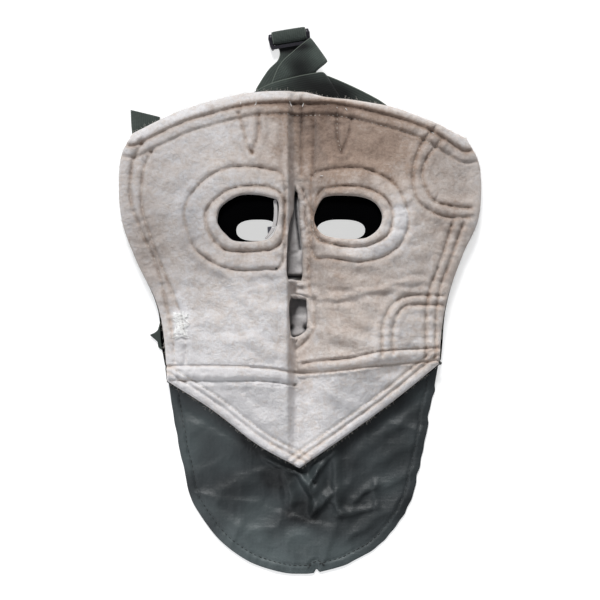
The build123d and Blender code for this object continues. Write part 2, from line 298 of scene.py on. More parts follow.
# ------------------------------------------------------------------ cloth meshes
def plan_triangles(loops, spacing, rings):
    """Points and triangles that fill the first loop, less the other loops. rings are inset rows."""
    outer = loops[0]
    rows = [np.asarray(loop) for loop in loops]
    low, high = outer.min(0), outer.max(0)
    nx, ny = int((high[0] - low[0]) / spacing) + 2, int((high[1] - low[1]) / (spacing * 0.866)) + 2
    gx, gy = np.meshgrid(np.arange(nx), np.arange(ny), indexing="ij")
    lattice = np.stack([low[0] + (gx + 0.5 * (gy % 2)) * spacing, low[1] + gy * spacing * 0.866], axis=-1)
    lattice = lattice.reshape(-1, 2)
    jitter = np.random.default_rng(11).uniform(-0.16, 0.16, lattice.shape) * spacing
    extra = [(lattice + jitter, max([0.6 * spacing] + [r + 0.5 * spacing for r in rings]))]
    for depth in rings:
        for loop in rows:
            tangent = np.roll(loop, -1, axis=0) - np.roll(loop, 1, axis=0)
            tangent /= np.linalg.norm(tangent, axis=1)[:, None] + 1e-12
            normal = np.stack([-tangent[:, 1], tangent[:, 0]], axis=1)
            for sign in (-1, 1):
                extra.append((loop + sign * depth * normal, depth * 0.9))
    kept = []
    for points, clear in extra:
        ok = inside(points, outer)
        for loop in rows[1:]:
            ok &= ~inside(points, loop)
        points = points[ok]
        gap = np.full(len(points), 1e9)
        for loop in rows:
            gap = np.minimum(gap, distance(points, loop, closed=True)[0])
        kept.append(points[gap >= clear])
    points = np.concatenate(rows + kept)
    edges, first = [], 0
    for loop in rows:
        n = len(loop)
        edges += [(first + k, first + (k + 1) % n) for k in range(n)]
        first += n
    found = delaunay_2d_cdt([Vector(p) for p in points], edges, [], 1, 1e-5)
    verts = np.array([tuple(v) for v in found[0]])
    tris = np.array([f for f in found[2] if len(f) == 3])
    middle = verts[tris].mean(1)
    ok = inside(middle, outer)
    for loop in rows[1:]:
        ok &= ~inside(middle, loop)
    tris = tris[ok]
    used = np.unique(tris)
    index = np.full(len(verts), -1)
    index[used] = np.arange(len(used))
    verts, tris = verts[used], index[tris]
    a, b, c = (verts[tris[:, k]] for k in range(3))
    turned = (b[:, 0] - a[:, 0]) * (c[:, 1] - a[:, 1]) - (b[:, 1] - a[:, 1]) * (c[:, 0] - a[:, 0]) < 0
    tris[turned] = tris[turned][:, ::-1]
    return verts, tris


def rim_of(tris):
    """Whether each vertex is on the border of the triangles."""
    edges = np.concatenate([tris[:, [0, 1]], tris[:, [1, 2]], tris[:, [2, 0]]])
    keys = np.sort(edges, axis=1)
    unique, counts = np.unique(keys, axis=0, return_counts=True)
    rim = np.zeros(tris.max() + 1, bool)
    rim[unique[counts == 1].ravel()] = True
    return rim


def object_from(name, verts, faces, material, attributes=None):
    mesh = bpy.data.meshes.new(name)
    mesh.from_pydata((np.asarray(verts) * MM).tolist(), [], [list(map(int, f)) for f in faces])
    for key, values in (attributes or {}).items():
        data = mesh.attributes.new(key, "FLOAT", "POINT")
        data.data.foreach_set("value", np.asarray(values, np.float32))
    mesh.polygons.foreach_set("use_smooth", [True] * len(mesh.polygons))
    mesh.materials.append(material)
    mesh.update()
    obj = bpy.data.objects.new(name, mesh)
    bpy.context.scene.collection.objects.link(obj)
    return obj


def cloth(name, loops, top, thickness, spacing, material, roundness, shade=None, under=None, inner=None):
    """A closed cloth piece: top(points) gives its upper surface, and the rim is rounded over.

    inner is a second material, for the upper side.
    """
    rings = [roundness * k for k in (0.12, 0.4, 0.85)]
    plan, tris = plan_triangles(loops, spacing, rings)
    edge = np.full(len(plan), 1e9)
    for loop in loops:
        edge = np.minimum(edge, distance(plan, np.asarray(loop), closed=True)[0])
    rim = rim_of(tris)
    edge[rim] = 0.0
    over = np.sqrt(np.clip(1 - (1 - np.clip(edge / roundness, 0, 1)) ** 2, 0, 1))
    high = top(plan)
    low = (under(plan) if under is not None else high - thickness)
    middle = (high + low) / 2
    upper = middle + (high - middle) * over
    lower = middle - (middle - low) * over
    count = len(plan)
    twin = np.arange(count)
    twin[~rim] = count + np.arange((~rim).sum())
    verts = np.concatenate([np.column_stack([plan, upper]), np.column_stack([plan, lower])[~rim]])
    faces = np.concatenate([tris, twin[tris][:, ::-1]])
    attributes = {}
    if shade is not None:
        for key, values in shade(plan).items():
            attributes[key] = np.concatenate([values, values[~rim]])
    piece = object_from(name, verts, faces, material, attributes)
    if inner is not None:
        piece.data.materials.append(inner)
        index = np.zeros(len(faces), np.int32)
        index[: len(tris)] = 1
        piece.data.polygons.foreach_set("material_index", index)
    return piece


# ------------------------------------------------------------------ materials
class Nodes:
    """A short way to wire shader nodes."""

    def __init__(self, name):
        self.material = bpy.data.materials.new(name)
        self.material.use_nodes = True
        self.tree = self.material.node_tree
        self.shader = self.tree.nodes["Principled BSDF"]

    def add(self, kind, inputs=None, **settings):
        node = self.tree.nodes.new(kind)
        for key, value in settings.items():
            setattr(node, key, value)
        for key, value in (inputs or {}).items():
            if isinstance(value, bpy.types.NodeSocket):
                self.tree.links.new(value, node.inputs[key])
            else:
                node.inputs[key].default_value = value
        return node

    def place(self):
        return self.add("ShaderNodeTexCoord").outputs["Object"]

    def attribute(self, name):
        return self.add("ShaderNodeAttribute", attribute_name=name).outputs["Fac"]

    def noise(self, scale, detail=3.0, where=None, roughness=0.55, distortion=0.0):
        node = self.add("ShaderNodeTexNoise", {"Vector": where or self.place(), "Scale": scale,
                                               "Detail": detail, "Roughness": roughness,
                                               "Distortion": distortion})
        return node.outputs["Fac"]

    def math(self, operation, a, b=0.0, clamp=False):
        node = self.add("ShaderNodeMath", operation=operation, use_clamp=clamp)
        for socket, value in zip(node.inputs, (a, b)):
            if isinstance(value, bpy.types.NodeSocket):
                self.tree.links.new(value, socket)
            else:
                socket.default_value = value
        return node.outputs["Value"]

    def scaled(self, value, low, high):
        node = self.add("ShaderNodeMapRange", {"Value": value, "To Min": low, "To Max": high})
        return node.outputs["Result"]

    def ramp(self, value, *stops):
        node = self.add("ShaderNodeValToRGB", {"Fac": value})
        ramp = node.color_ramp
        while len(ramp.elements) < len(stops):
            ramp.elements.new(0.5)
        for element, (position, colour) in zip(ramp.elements, stops):
            element.position = position
            element.color = (*colour, 1.0)
        return node.outputs["Color"]

    def mix(self, factor, a, b, blend="MIX"):
        node = self.add("ShaderNodeMix", data_type="RGBA", blend_type=blend)
        for socket, value in zip((node.inputs["Factor"], node.inputs[6], node.inputs[7]), (factor, a, b)):
            if isinstance(value, bpy.types.NodeSocket):
                self.tree.links.new(value, socket)
            else:
                socket.default_value = value if isinstance(value, float) else (*value, 1.0)
        return node.outputs[2]

    def bump(self, height, depth, strength=1.0, normal=None):
        node = self.add("ShaderNodeBump", {"Height": height, "Distance": depth, "Strength": strength})
        if normal is not None:
            self.tree.links.new(normal, node.inputs["Normal"])
        return node.outputs["Normal"]

    def finish(self, colour, roughness, normal, sheen=0.0, **sockets):
        self.tree.links.new(colour, self.shader.inputs["Base Color"])
        if isinstance(roughness, bpy.types.NodeSocket):
            self.tree.links.new(roughness, self.shader.inputs["Roughness"])
        else:
            self.shader.inputs["Roughness"].default_value = roughness
        self.tree.links.new(normal, self.shader.inputs["Normal"])
        self.shader.inputs["Sheen Weight"].default_value = sheen
        for key, value in sockets.items():
            self.shader.inputs[key.replace("_", " ")].default_value = value
        return self.material


def srgb(*values):
    """Display values from 0 to 255 as linear colour."""
    return tuple(((v / 255 + 0.055) / 1.055) ** 2.4 if v > 10 else v / 255 / 12.92 for v in values)


def felt_material():
    n = Nodes("wool_felt")
    stain = n.attribute("stain")
    soil = n.attribute("soil")
    cloudy = n.noise(38.0, 4.0)
    mottled = n.noise(420.0, 5.0, roughness=0.65)
    fibres = n.noise(2300.0, 4.0, roughness=0.7, distortion=0.6)
    blotchy = n.noise(150.0, 4.0)
    # Brown from real stains, and painted shade in the grooves and on the nose valley's right wall.
    amount = n.math("ADD", stain, n.scaled(cloudy, -0.14, 0.14))
    amount = n.math("ADD", amount, n.scaled(blotchy, -0.2, 0.2))
    amount = n.math("ADD", amount, n.scaled(mottled, -0.26, 0.26), clamp=True)
    colour = n.ramp(amount, (0.0, srgb(244, 242, 243)), (0.25, srgb(229, 218, 210)),
                    (0.6, srgb(187, 163, 146)), (1.0, srgb(122, 97, 80)))
    speckle = n.ramp(fibres, (0.3, srgb(204, 196, 192)), (0.62, srgb(255, 255, 255)))
    colour = n.mix(0.55, colour, speckle, "MULTIPLY")
    # Painted shade: the felt is multiplied towards grey where the grey shade attribute is high; the darned
    # patch is paler felt.
    colour = n.mix(soil, colour, srgb(160, 161, 165), "MULTIPLY")
    normal = n.bump(mottled, 0.0016, 0.75)
    normal = n.bump(fibres, 0.00045, 0.8, normal)
    return n.finish(colour, 0.96, normal, sheen=0.25, Specular_IOR_Level=0.15, Sheen_Roughness=0.7)


def weave_height(n, pitch, where=None):
    """Over and under threads of a plain weave, as a height."""
    place = where or n.place()
    waves = [n.add("ShaderNodeTexWave", {"Vector": place, "Scale": 1 / pitch / 20 * pi, "Distortion": 0.6,
                                         "Detail": 1.0, "Detail Scale": 1.5},
                   bands_direction=axis).outputs["Fac"] for axis in ("X", "Y")]
    return n.math("MULTIPLY", waves[0], waves[1])


def cloth_material(name, light, dark, pitch=0.0008, roughness=0.88, sheen=0.15, specular=0.25):
    n = Nodes(name)
    weave = weave_height(n, pitch)
    worn = n.noise(60.0, 4.0)
    colour = n.mix(n.scaled(worn, 0.15, 0.85), dark, light)
    colour = n.mix(0.35, colour, n.ramp(weave, (0.0, srgb(150, 150, 150)), (0.8, srgb(255, 255, 255))),
                   "MULTIPLY")
    normal = n.bump(weave, 0.00025, 0.8)
    normal = n.bump(n.noise(300.0, 3.0), 0.0006, 0.3, normal)
    return n.finish(colour, roughness, normal, sheen=sheen, Specular_IOR_Level=specular)


def brushed_material():
    """The covers' grey lining, with painted shade down its slits."""
    n = Nodes("grey_brushed_cotton")
    soft = n.noise(500.0, 4.0, roughness=0.65)
    colour = n.mix(n.scaled(soft, 0.0, 1.0), srgb(170, 167, 168), srgb(206, 202, 200))
    colour = n.mix(n.attribute("stain"), colour, srgb(34, 36, 40))
    return n.finish(colour, 0.95, n.bump(soft, 0.0008, 0.6), sheen=0.2, Specular_IOR_Level=0.15)


def nylon_material():
    n = Nodes("coated_nylon")
    crease = n.attribute("crease")
    weave = weave_height(n, 0.0005)
    worn = n.noise(30.0, 5.0, roughness=0.6)
    fine = n.noise(220.0, 5.0, roughness=0.62)
    # Painted light and shade over the coating, from the painted shading attribute.
    tone = n.math("ADD", n.attribute("tone"), n.scaled(worn, -0.12, 0.12), clamp=True)
    base = n.ramp(tone, (0.0, srgb(18, 20, 22)), (0.4, srgb(48, 53, 55)), (1.0, srgb(84, 93, 94)))
    # Painted highlight on the fold crests.
    colour = n.mix(n.math("MULTIPLY", crease, 0.12), base, srgb(84, 92, 92))
    shine = n.scaled(n.noise(90.0, 3.0), 0.42, 0.56)
    normal = n.bump(fine, 0.0010, 0.5)
    normal = n.bump(weave, 0.00012, 0.6, normal)
    return n.finish(colour, shine, normal, Specular_IOR_Level=0.45)


def webbing_material():
    n = Nodes("webbing")
    across, along = n.attribute("across"), n.attribute("along")
    where = n.add("ShaderNodeCombineXYZ", {"X": across, "Y": along}).outputs["Vector"]
    ribs = n.add("ShaderNodeTexWave", {"Vector": where, "Scale": 0.36, "Distortion": 0.4},
                 bands_direction="Y").outputs["Fac"]
    lines = n.add("ShaderNodeTexWave", {"Vector": where, "Scale": 0.2, "Distortion": 0.3},
                  bands_direction="X").outputs["Fac"]
    height = n.math("ADD", n.math("MULTIPLY", ribs, 0.7), n.math("MULTIPLY", lines, 0.5))
    edge = n.math("GREATER_THAN", n.math("ABSOLUTE", across), 11.9)
    worn = n.noise(120.0, 4.0)
    colour = n.mix(n.scaled(worn, 0.0, 1.0), srgb(66, 75, 70), srgb(98, 108, 102))
    colour = n.mix(0.5, colour, n.ramp(height, (0.1, srgb(140, 140, 140)), (0.9, srgb(255, 255, 255))),
                   "MULTIPLY")
    # Painted shade and highlight on the webbing, from the painted shading attribute.
    colour = n.mix(n.math("SUBTRACT", 1.0, n.attribute("tone"), clamp=True), colour, srgb(14, 14, 15))
    colour = n.mix(n.math("MULTIPLY", edge, 0.5), colour, srgb(122, 130, 120))
    normal = n.bump(height, 0.00025, 0.9)
    return n.finish(colour, 0.85, normal, sheen=0.2, Specular_IOR_Level=0.25)


def metal_material(name, light, dark, metallic, roughness):
    n = Nodes(name)
    scuffs = n.noise(500.0, 5.0, roughness=0.7)
    colour = n.mix(n.scaled(scuffs, 0.0, 1.0), dark, light)
    normal = n.bump(scuffs, 0.00008, 0.4)
    material = n.finish(colour, n.scaled(scuffs, roughness - 0.12, roughness + 0.15), normal)
    n.shader.inputs["Metallic"].default_value = metallic
    return material


def thread_material(name, light, dark):
    n = Nodes(name)
    twist = n.noise(3000.0, 2.0)
    colour = n.mix(n.scaled(twist, 0.0, 1.0), dark, light)
    return n.finish(colour, 0.8, n.bump(twist, 0.0001, 0.6), sheen=0.2)


FELT_LOOK = felt_material()
SHELL_LOOK = cloth_material("olive_cotton", srgb(70, 72, 58), srgb(48, 50, 40))
# Painted shade: the shell's upper face is near black, standing in for the shade seen through the eye holes.
SHELL_SHADE_LOOK = cloth_material("painted_shade_backing", srgb(4, 4, 5), srgb(1, 1, 2), roughness=1.0, sheen=0.0,
                                  specular=0.02)
COVER_LINING_LOOK = brushed_material()
TAB_LOOK = cloth_material("grey_tab", srgb(96, 96, 104), srgb(66, 66, 74))
NYLON_LOOK = nylon_material()
WEBBING_LOOK = webbing_material()
BUCKLE_LOOK = metal_material("black_enamel", srgb(52, 50, 58), srgb(26, 24, 30), 0.4, 0.4)
STAY_LOOK = metal_material("soft_aluminium", srgb(200, 200, 204), srgb(160, 160, 165), 1.0, 0.4)
FELT_THREAD = thread_material("cream_thread", srgb(226, 222, 214), srgb(178, 168, 156))
OLIVE_THREAD = thread_material("olive_thread", srgb(52, 56, 50), srgb(24, 27, 24))
HEM_THREAD = thread_material("hem_thread", srgb(44, 48, 48), srgb(20, 22, 23))
WHITE_THREAD = thread_material("white_thread", srgb(255, 255, 254), srgb(244, 243, 240))

# ------------------------------------------------------------------ relief of the felt
def groove(d, depth, width):
    return -depth * bell(d, width)


def puff(d, low, high, height):
    """A rounded swelling between two distances."""
    t = np.clip((d - low) / (high - low), 0, 1)
    return height * dome(t)


TOP_SEAMS = (9.6, 18.0)      # how far inside the forehead edge its two stitched lines run
V_SEAMS = (6.2, 10.4)        # and inside the lower edges that meet at the chin's point
STITCH_LINES = {
    "side_left_outer": [(-117, 116), (-124, 102), (-125.5, 76), (-118, 53), (-108, 31), (-102, 12),
                        (-98, -6), (-94, -24), (-92, -46)],
    "side_left_inner": [(-110, 110), (-116, 96), (-117, 70), (-111, 49), (-103, 27), (-92, 0),
                        (-87, -14), (-84, -30), (-84, -47)],
    "side_right_inner": [(113, 58), (104, 29), (96, 8), (93, -10), (93, -43)],
    "side_right_outer": [(121, 57), (112, 31), (104, 10), (100.5, -10), (100, -43)],
    "chin_left": [(-95, -59.5), (-60, -60), (-25, -60), (-4, -63)],
    "chin_right": [(2, -47), (15, -45), (37, -43), (60, -38), (103, -35)],
    "temple_outer": [(101, 128), (91, 117), (85, 103), (83, 88), (86, 73), (96, 65), (108, 61),
                     (126, 61)],
    "temple_inner": [(104, 118), (93, 103), (90, 91), (93, 80), (100, 72), (112, 69), (127, 68)],
    "jaw_outer": [(60, -41), (60, -23), (62, -14), (67, -5), (75, 1), (84, 3), (106, 3)],
    "jaw_inner": [(68, -40), (68, -23), (71, -12), (76, -6), (84, -4), (105, -4)],
    "nose_fold": [(1.5, 81), (5.5, 72), (11, 60), (13.5, 42)],
    "nose_binding": [(2.4, 68), (5.6, 52), (6.6, 38), (6.8, 14), (8.0, 4)],
    "mouth_binding": [(10.4, 0), (10.2, -21), (2, -33), (-3, -36.5)],
    "dart_left": [(-45.5, 138), (-44.4, 134), (-40.3, 121), (-39.2, 113), (-35, 107.5)],
    "dart_left_fold": [(-30, 138), (-31, 121), (-35, 107.5)],
    "dart_right": [(27.5, 138), (27.6, 120), (30.4, 107.5)],
    "dart_right_fold": [(38.2, 134), (36.3, 122), (30.6, 107.5)],
    "pleat_left": [(1.2, 150), (1.4, 120), (0.8, 93)],
    "pleat_right": [(10, 138), (10.4, 118), (9.2, 92)],
}
STITCH_LINES = {name: smooth(points) for name, points in STITCH_LINES.items()}
GROOVE_DEPTHS = {"dart_left": 2.0, "dart_left_fold": 1.0, "dart_right": 1.5, "dart_right_fold": 1.5,
                 "pleat_left": 2.0, "pleat_right": 1.6, "side_left_outer": 2.2, "side_left_inner": 2.2,
                 "side_right_inner": 1.9, "side_right_outer": 1.9}
UNSEWN = ("dart_left_fold", "dart_right_fold", "pleat_left", "pleat_right", "nose_fold")
WRINKLES = [
    # start x, y, end x, y, width, height
    (-8, 12.5, 8, 9.5, 1.7, 1.2), (-7, 6.5, 14, 2.8, 1.9, 1.1),
    (-75, 36, -50, 14, 3.5, 0.7), (-60, 22, -34, -4, 3.0, 0.6), (-30, 10, -14, -22, 3.0, 0.7),
    (-70, -12, -46, -34, 3.5, 0.6), (-44, -20, -18, -44, 3.2, 0.8), (-100, 80, -84, 98, 3.5, 0.7),
    (-62, 118, -46, 96, 3.2, 0.6), (-24, 132, -18, 104, 2.6, 1.0), (-16, 134, -14, 100, 2.4, 0.9),
    (10, 138, 16, 100, 3.0, 1.0), (18, 130, 22, 96, 3.0, 0.8), (44, 120, 60, 104, 3.2, 0.6),
    (30, 34, 60, 20, 3.5, 0.7), (24, 20, 50, -6, 3.5, 0.8), (26, 0, 52, -22, 3.2, 0.7),
    (66, 30, 96, 36, 3.5, 0.6), (20, -26, 52, -34, 3.0, 0.6), (-50, -68, -24, -92, 3.0, 0.6),
    (10, -0.5, 42, 2, 1.6, 1.1), (40, 4, 72, 8, 1.8, 0.8), (62, 11, 96, 14, 1.8, 0.8),
    (-34, 136, -33, 116, 1.5, 0.7), (-27, 138, -26, 112, 1.5, 0.9), (-10, 140, -9, 100, 1.6, 1.1),
    (16, -66, 44, -82, 3.0, 0.6), (-74, -64, -54, -74, 2.8, 0.5), (60, -58, 84, -60, 2.8, 0.5),
]
FLAWS = 1.15


GREY_SHADE_AND_DARNING_SPOTS = [
    # middle x, y, reach across and up, how much greyer: painted shade. Rows below zero are lighter, among
    # them a painted highlight at the right eye's ring and the paler darned felt at -87, -22
    (-110, 40, 24, 60, 0.24), (112, 92, 26, 34, 0.22), (2, -60, 8, 22, 0.18), (-80, 58, 9, 30, 0.26),
    (40, 128, 70, 18, 0.12), (80, 20, 26, 24, 0.10), (72, 60, 8, 16, -0.30), (-30, -12, 26, 20, -0.25),
    (-87, -22, 7, 18, -0.60),
]
STAIN_AND_SHADE_SPOTS = [
    # middle x, y, reach across and up, how much browner: real brown stains, with painted shade on the nose
    # valley's right wall. Rows below zero are lighter, among them a painted highlight at the right eye's ring
    # and the paler darned felt at -87, -26
    (50, 0, 42, 34, 0.15), (-50, 2, 46, 34, 0.08), (4, -62, 10, 20, 0.20), (12, 118, 22, 34, 0.55),
    (18, 40, 20, 46, 0.26), (4, 140, 46, 10, 0.34), (58, 112, 34, 26, 0.46), (-4, -40, 10, 26, 0.16),
    (-20, 112, 20, 28, 0.24), (-60, 100, 30, 16, 0.12), (-60, 30, 50, 14, 0.10), (-118, 40, 22, 60, 0.20),
    (112, 40, 16, 60, 0.18), (34, -30, 26, 22, 0.14), (60, -30, 30, 26, -0.14), (76, 60, 8, 14, -0.16),
    (-87, -26, 5, 20, -0.50), (-46, -70, 60, 26, -0.20), (-40, -10, 40, 30, -0.08),
    (30, -86, 30, 20, -0.10),
]


def band_relief(p, to_top, along_top):
    """The stitched bands inside the forehead edge and the lower edges, and the rounded side edges, with
    painted shade down their seam grooves.
    """
    x = p[:, 0]
    gather = noise(along_top, 0 * x, 5.5, 3) + 0.6 * noise(along_top, 0 * x, 2.6, 4)
    middle = bell(x - 6.0, 42.0)
    first, second = TOP_SEAMS
    z = puff(to_top, 0.0, first, 1.9) + puff(to_top, first, second, 1.2)
    z += groove(to_top - first, 1.3, 1.3) + groove(to_top - second, 1.1, 1.3)
    z += 0.6 * gather * bell(to_top - 13.0, 6.0)
    stain = (0.30 + 0.35 * middle) * bell(to_top - first, 2.2)
    stain += (0.12 + 0.15 * middle) * bell(to_top - second, 2.0)
    first, second = V_SEAMS
    for line in (V_LEFT, V_RIGHT):
        to_v, along_v = distance(p, line)
        z += puff(to_v, 0.0, first, 1.4) + puff(to_v, first, second + 0.2, 0.7)
        z += groove(to_v - first, 0.9, 1.0) + groove(to_v - second - 0.2, 1.0, 1.1)
        z += 0.3 * noise(along_v, 0 * x, 4.0, 5) * bell(to_v - 8.0, 4.0)
        stain += 0.22 * bell(to_v - first, 1.6) + 0.16 * bell(to_v - second, 1.6)
    for line in (LEFT_EDGE, RIGHT_EDGE):
        z += puff(distance(p, line)[0], 0.0, 8.5, 1.0)
    return z, stain


def stitched_relief(p):
    """The grooves, puckers and brown painted shade along the stitch lines."""
    z, stain = np.zeros(len(p)), np.zeros(len(p))
    for key, line in STITCH_LINES.items():
        d, along = distance(p, line)
        pucker = 1 + 0.35 * noise(along, 0 * d, 3.4, len(key))
        z += groove(d, GROOVE_DEPTHS.get(key, 1.6), 0.9) * pucker + 0.7 * bell(d - 3.8, 2.2)
        z += 0.6 * noise(along, 0 * d, 3.1, 70 + len(key)) * bell(d, 4.5)
        stain += 0.17 * bell(d, 1.5) * pucker
    return z, stain


def chin_relief(p):
    """On each half, the seam above the chin panel and the roll between it and its stitch line, with painted
    shade in the seam's groove.
    """
    z, stain = np.zeros(len(p)), np.zeros(len(p))
    for side, sign in SIGN.items():
        here = (p[:, 0] - CENTRE_X) * sign > 0
        to_seam, along = distance(p, SEAMS[side])
        to_line = distance(p, STITCH_LINES[f"chin_{side}"])[0]
        share = to_seam / (to_seam + to_line + 1e-6)
        between = here & (to_seam + to_line < 13.5)
        z += np.where(between, 1.3 * dome(share), 0)
        lumps = 0.4 * noise(along, 0 * along, 6.0, 77) * bell(to_seam, 5.0)
        z += np.where(here, groove(to_seam, 1.3, 1.1) + lumps, 0)
        stain += np.where(here, 0.2 * bell(to_seam, 1.3), 0)
    return z, stain


def eye_relief(p, side):
    """The roll round an eye hole, and the padded ring outside it, with painted shade in their grooves."""
    z, stain = np.zeros(len(p)), np.zeros(len(p))
    reach = []
    for loop, depth, tone in ((EYE_ROLLS[side], 1.5, 0.24), (EYE_RINGS[side], 1.4, 0.18)):
        d, along = distance(p, loop, closed=True)
        reach.append(d)
        pucker = 1 + 0.35 * noise(along, 0 * d, 3.6, 17)
        z += groove(d, depth + 0.2, 0.88) * pucker + groove(d, 0.5, 2.4)
        z += 0.8 * noise(along, 0 * d, 4.6, 18) * bell(d, 6.0)
        stain += tone * bell(d, 1.5)
    to_roll, to_ring = reach
    to_hole = distance(p, EYES[side], closed=True)[0]
    within = inside(p, EYE_ROLLS[side])
    ring = inside(p, EYE_RINGS[side]) & ~within
    z += np.where(within, puff(to_hole, -1.0, 7.6, 2.0), 0)
    z += np.where(ring, 1.5 * dome(to_roll / (to_roll + to_ring + 1e-6)), 0)
    z += np.where(~ring & ~within, 0.8 * bell(to_ring - 4.0, 3.0), 0)
    return z, stain + np.where(within, 0.08, 0.0)


def wrinkle_relief(p):
    """Shallow wrinkles, each a ridge with a hollow beside it."""
    z = np.zeros(len(p))
    wander = noise(p[:, 0], p[:, 1], 9.0, 21) * 1.6
    for x0, y0, x1, y1, width, height in WRINKLES:
        d, along = distance(p, straight([(x0, y0), (x1, y1)], 4.0))
        wide = 1.35 * width
        profile = bell(d + wander, wide) - 0.8 * bell(d + wander - 1.7 * wide, wide)
        z += 1.3 * height * dome(along / hypot(x1 - x0, y1 - y0)) * profile
    return z


def felt_relief(p):
    """Height added to the draped surface, and how brown and how grey the felt is there: brown from real
    stains and painted shade, grey from painted shade.
    """
    x, y = p[:, 0], p[:, 1]
    to_top, along_top = distance(p, TOP_EDGE)
    parts = [band_relief(p, to_top, along_top), stitched_relief(p), chin_relief(p)]
    parts += [eye_relief(p, side) for side in SIGN]
    z = sum(height for height, _ in parts) + wrinkle_relief(p)
    z += FLAWS * (1.0 * noise(x, y, 31.0, 31) + 0.62 * noise(x, y, 13.0, 32)
                  + 0.34 * noise(x, y, 6.0, 33) + 0.22 * noise(x, y, 3.0, 34))
    z += 0.9 * noise(x * 0.35 + y * 0.25, y, 8.0, 35) * bell(y + 2, 46.0)

    # Painted highlight: the right eye's ring below its top is made paler, less brown and less grey.
    ring_highlight = inside(p, EYE_RINGS["right"]) * ease((x - 8.0) / 14.0) * (1 - ease((y - 62.0) / 18.0))
    stain = 0.08 + sum(tone for _, tone in parts) + spots(x, y, STAIN_AND_SHADE_SPOTS) - 0.16 * ring_highlight
    stain += 0.07 * ease(x / 30.0) * ease((y - 20.0) / 60.0)
    stain += 0.10 * ease((x - 4) / 30.0) - 0.10 * ease((-50.0 - y) / 10.0)
    stain *= 1 - 0.5 * bell(to_top - 3.5, 3.2)
    # Painted shade: greyer towards the forehead, less so to the right, plus the spots; paler along the
    # forehead's edge band and at the right eye's ring.
    soil = (0.28 - 0.12 * ease(x / 30.0)) * ease((y + 45.0) / 70.0) + spots(x, y, GREY_SHADE_AND_DARNING_SPOTS)
    soil -= 0.12 * ring_highlight + 0.38 * bell(to_top - 4.0, 3.0)
    return z, np.clip(stain, 0, 1), np.clip(soil, 0, 1)


def felt_top(p):
    return surface(p[:, 0], p[:, 1]) + felt_relief(p)[0]


def felt_under(p):
    return surface(p[:, 0], p[:, 1]) - LINING


def felt_shade(p):
    _, stain, soil = felt_relief(p)
    return {"stain": stain, "soil": soil}


# ------------------------------------------------------------------ panel outlines
def resample(loop, step):
    """A closed loop with evenly spaced points."""
    closed = np.concatenate([loop, loop[:1]])
    lengths = np.concatenate([[0], np.cumsum(np.linalg.norm(np.diff(closed, axis=0), axis=1))])
    count = int(lengths[-1] / step)
    t = np.linspace(0, lengths[-1], count, endpoint=False)
    return np.column_stack([np.interp(t, lengths, closed[:, k]) for k in (0, 1)])


def round_slot(loop, side):
    """The slot's edge on one side of the centre line, from its top to its bottom."""
    sign = SIGN[side]
    part = loop[(loop[:, 0] - CENTRE_X) * sign > 0.05]
    turn = np.arctan2((part[:, 0] - CENTRE_X) * sign, part[:, 1] - loop[:, 1].mean())
    return part[np.argsort(turn)]


def centre_line(side, low, high, slots):
    """The centre seam from high to low, going round the slots."""
    lap = CENTRE_X + (SEAM_LAP if side == "left" else -SEAM_LAP)
    parts = [np.array([(lap, high)])]
    for slot_loop in slots:
        part = round_slot(slot_loop, side)
        parts += [np.array([(lap, part[0, 1] + 0.4)]), part, np.array([(lap, part[-1, 1] - 0.4)])]
    parts.append(np.array([(lap, low)]))
    return np.concatenate(parts)


SEAMS = {"left": smooth([(-98.4, -49), (-60, -49), (-25, -50.5), (CENTRE_X, -54)]),
         "right": smooth([(CENTRE_X, -54), (20, -53), (60, -48.5), (103.2, -45)])[::-1]}


def face_loop(side, step, slots):
    """A face panel with its temple: forehead edge, side edge, chin seam and centre seam."""
    sign = SIGN[side]
    top = TOP_RIM[(TOP_RIM[:, 0] - CENTRE_X) * sign > 0.3]
    top = top if side == "right" else top[::-1]
    edge = LEFT_EDGE if side == "left" else RIGHT_EDGE
    edge = edge[edge[:, 1] > SEAMS[side][0, 1] + 0.5]
    centre = centre_line(side, SEAMS[side][-1, 1], TOP_Y, slots)[::-1]
    return resample(np.concatenate([top[:-1], edge, SEAMS[side], centre]), step)


def chin_loop(side, step):
    edge = LEFT_EDGE if side == "left" else RIGHT_EDGE
    edge = edge[edge[:, 1] < SEAMS[side][0, 1] - 0.5]
    v = V_LEFT if side == "left" else V_RIGHT[::-1]
    sign = SIGN[side]
    v = v[(v[:, 0] - CENTRE_X) * sign > 0.3]
    lap = CENTRE_X - sign * SEAM_LAP
    seam = SEAMS[side][::-1] + (0, SEAM_LAP)
    corners = np.array([(lap, APEX_Y + 1.2), (lap, seam[0, 1])])
    return resample(np.concatenate([edge[:-1], v, corners, seam[1:]]), step)


def shifted(drop):
    return lambda p: surface(p[:, 0], p[:, 1]) - drop


def grown(loop):
    """The shell's outline: level with the felt at the forehead, a little proud of it lower down."""
    x, y = loop[:, 0], loop[:, 1]
    proud = 1 + 0.0075 * ease((30.0 - y) / 40.0)
    shows = np.where(x < -80, -2.2, np.where(x > 80, 1.0, 0.0)) * bell(y + 30, 15.0)
    return np.column_stack([x * proud + shows, y * proud])


TEMPLE_FOLD = ((66.0, 158.0), (111.0, -2.0))


def bend_at_temple(obj):
    """Bakes the piece's placement into its mesh; it does not follow the temple fold."""
    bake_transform(obj)


FELT_STEP = 1.12
SHELL_STEP = 2.4


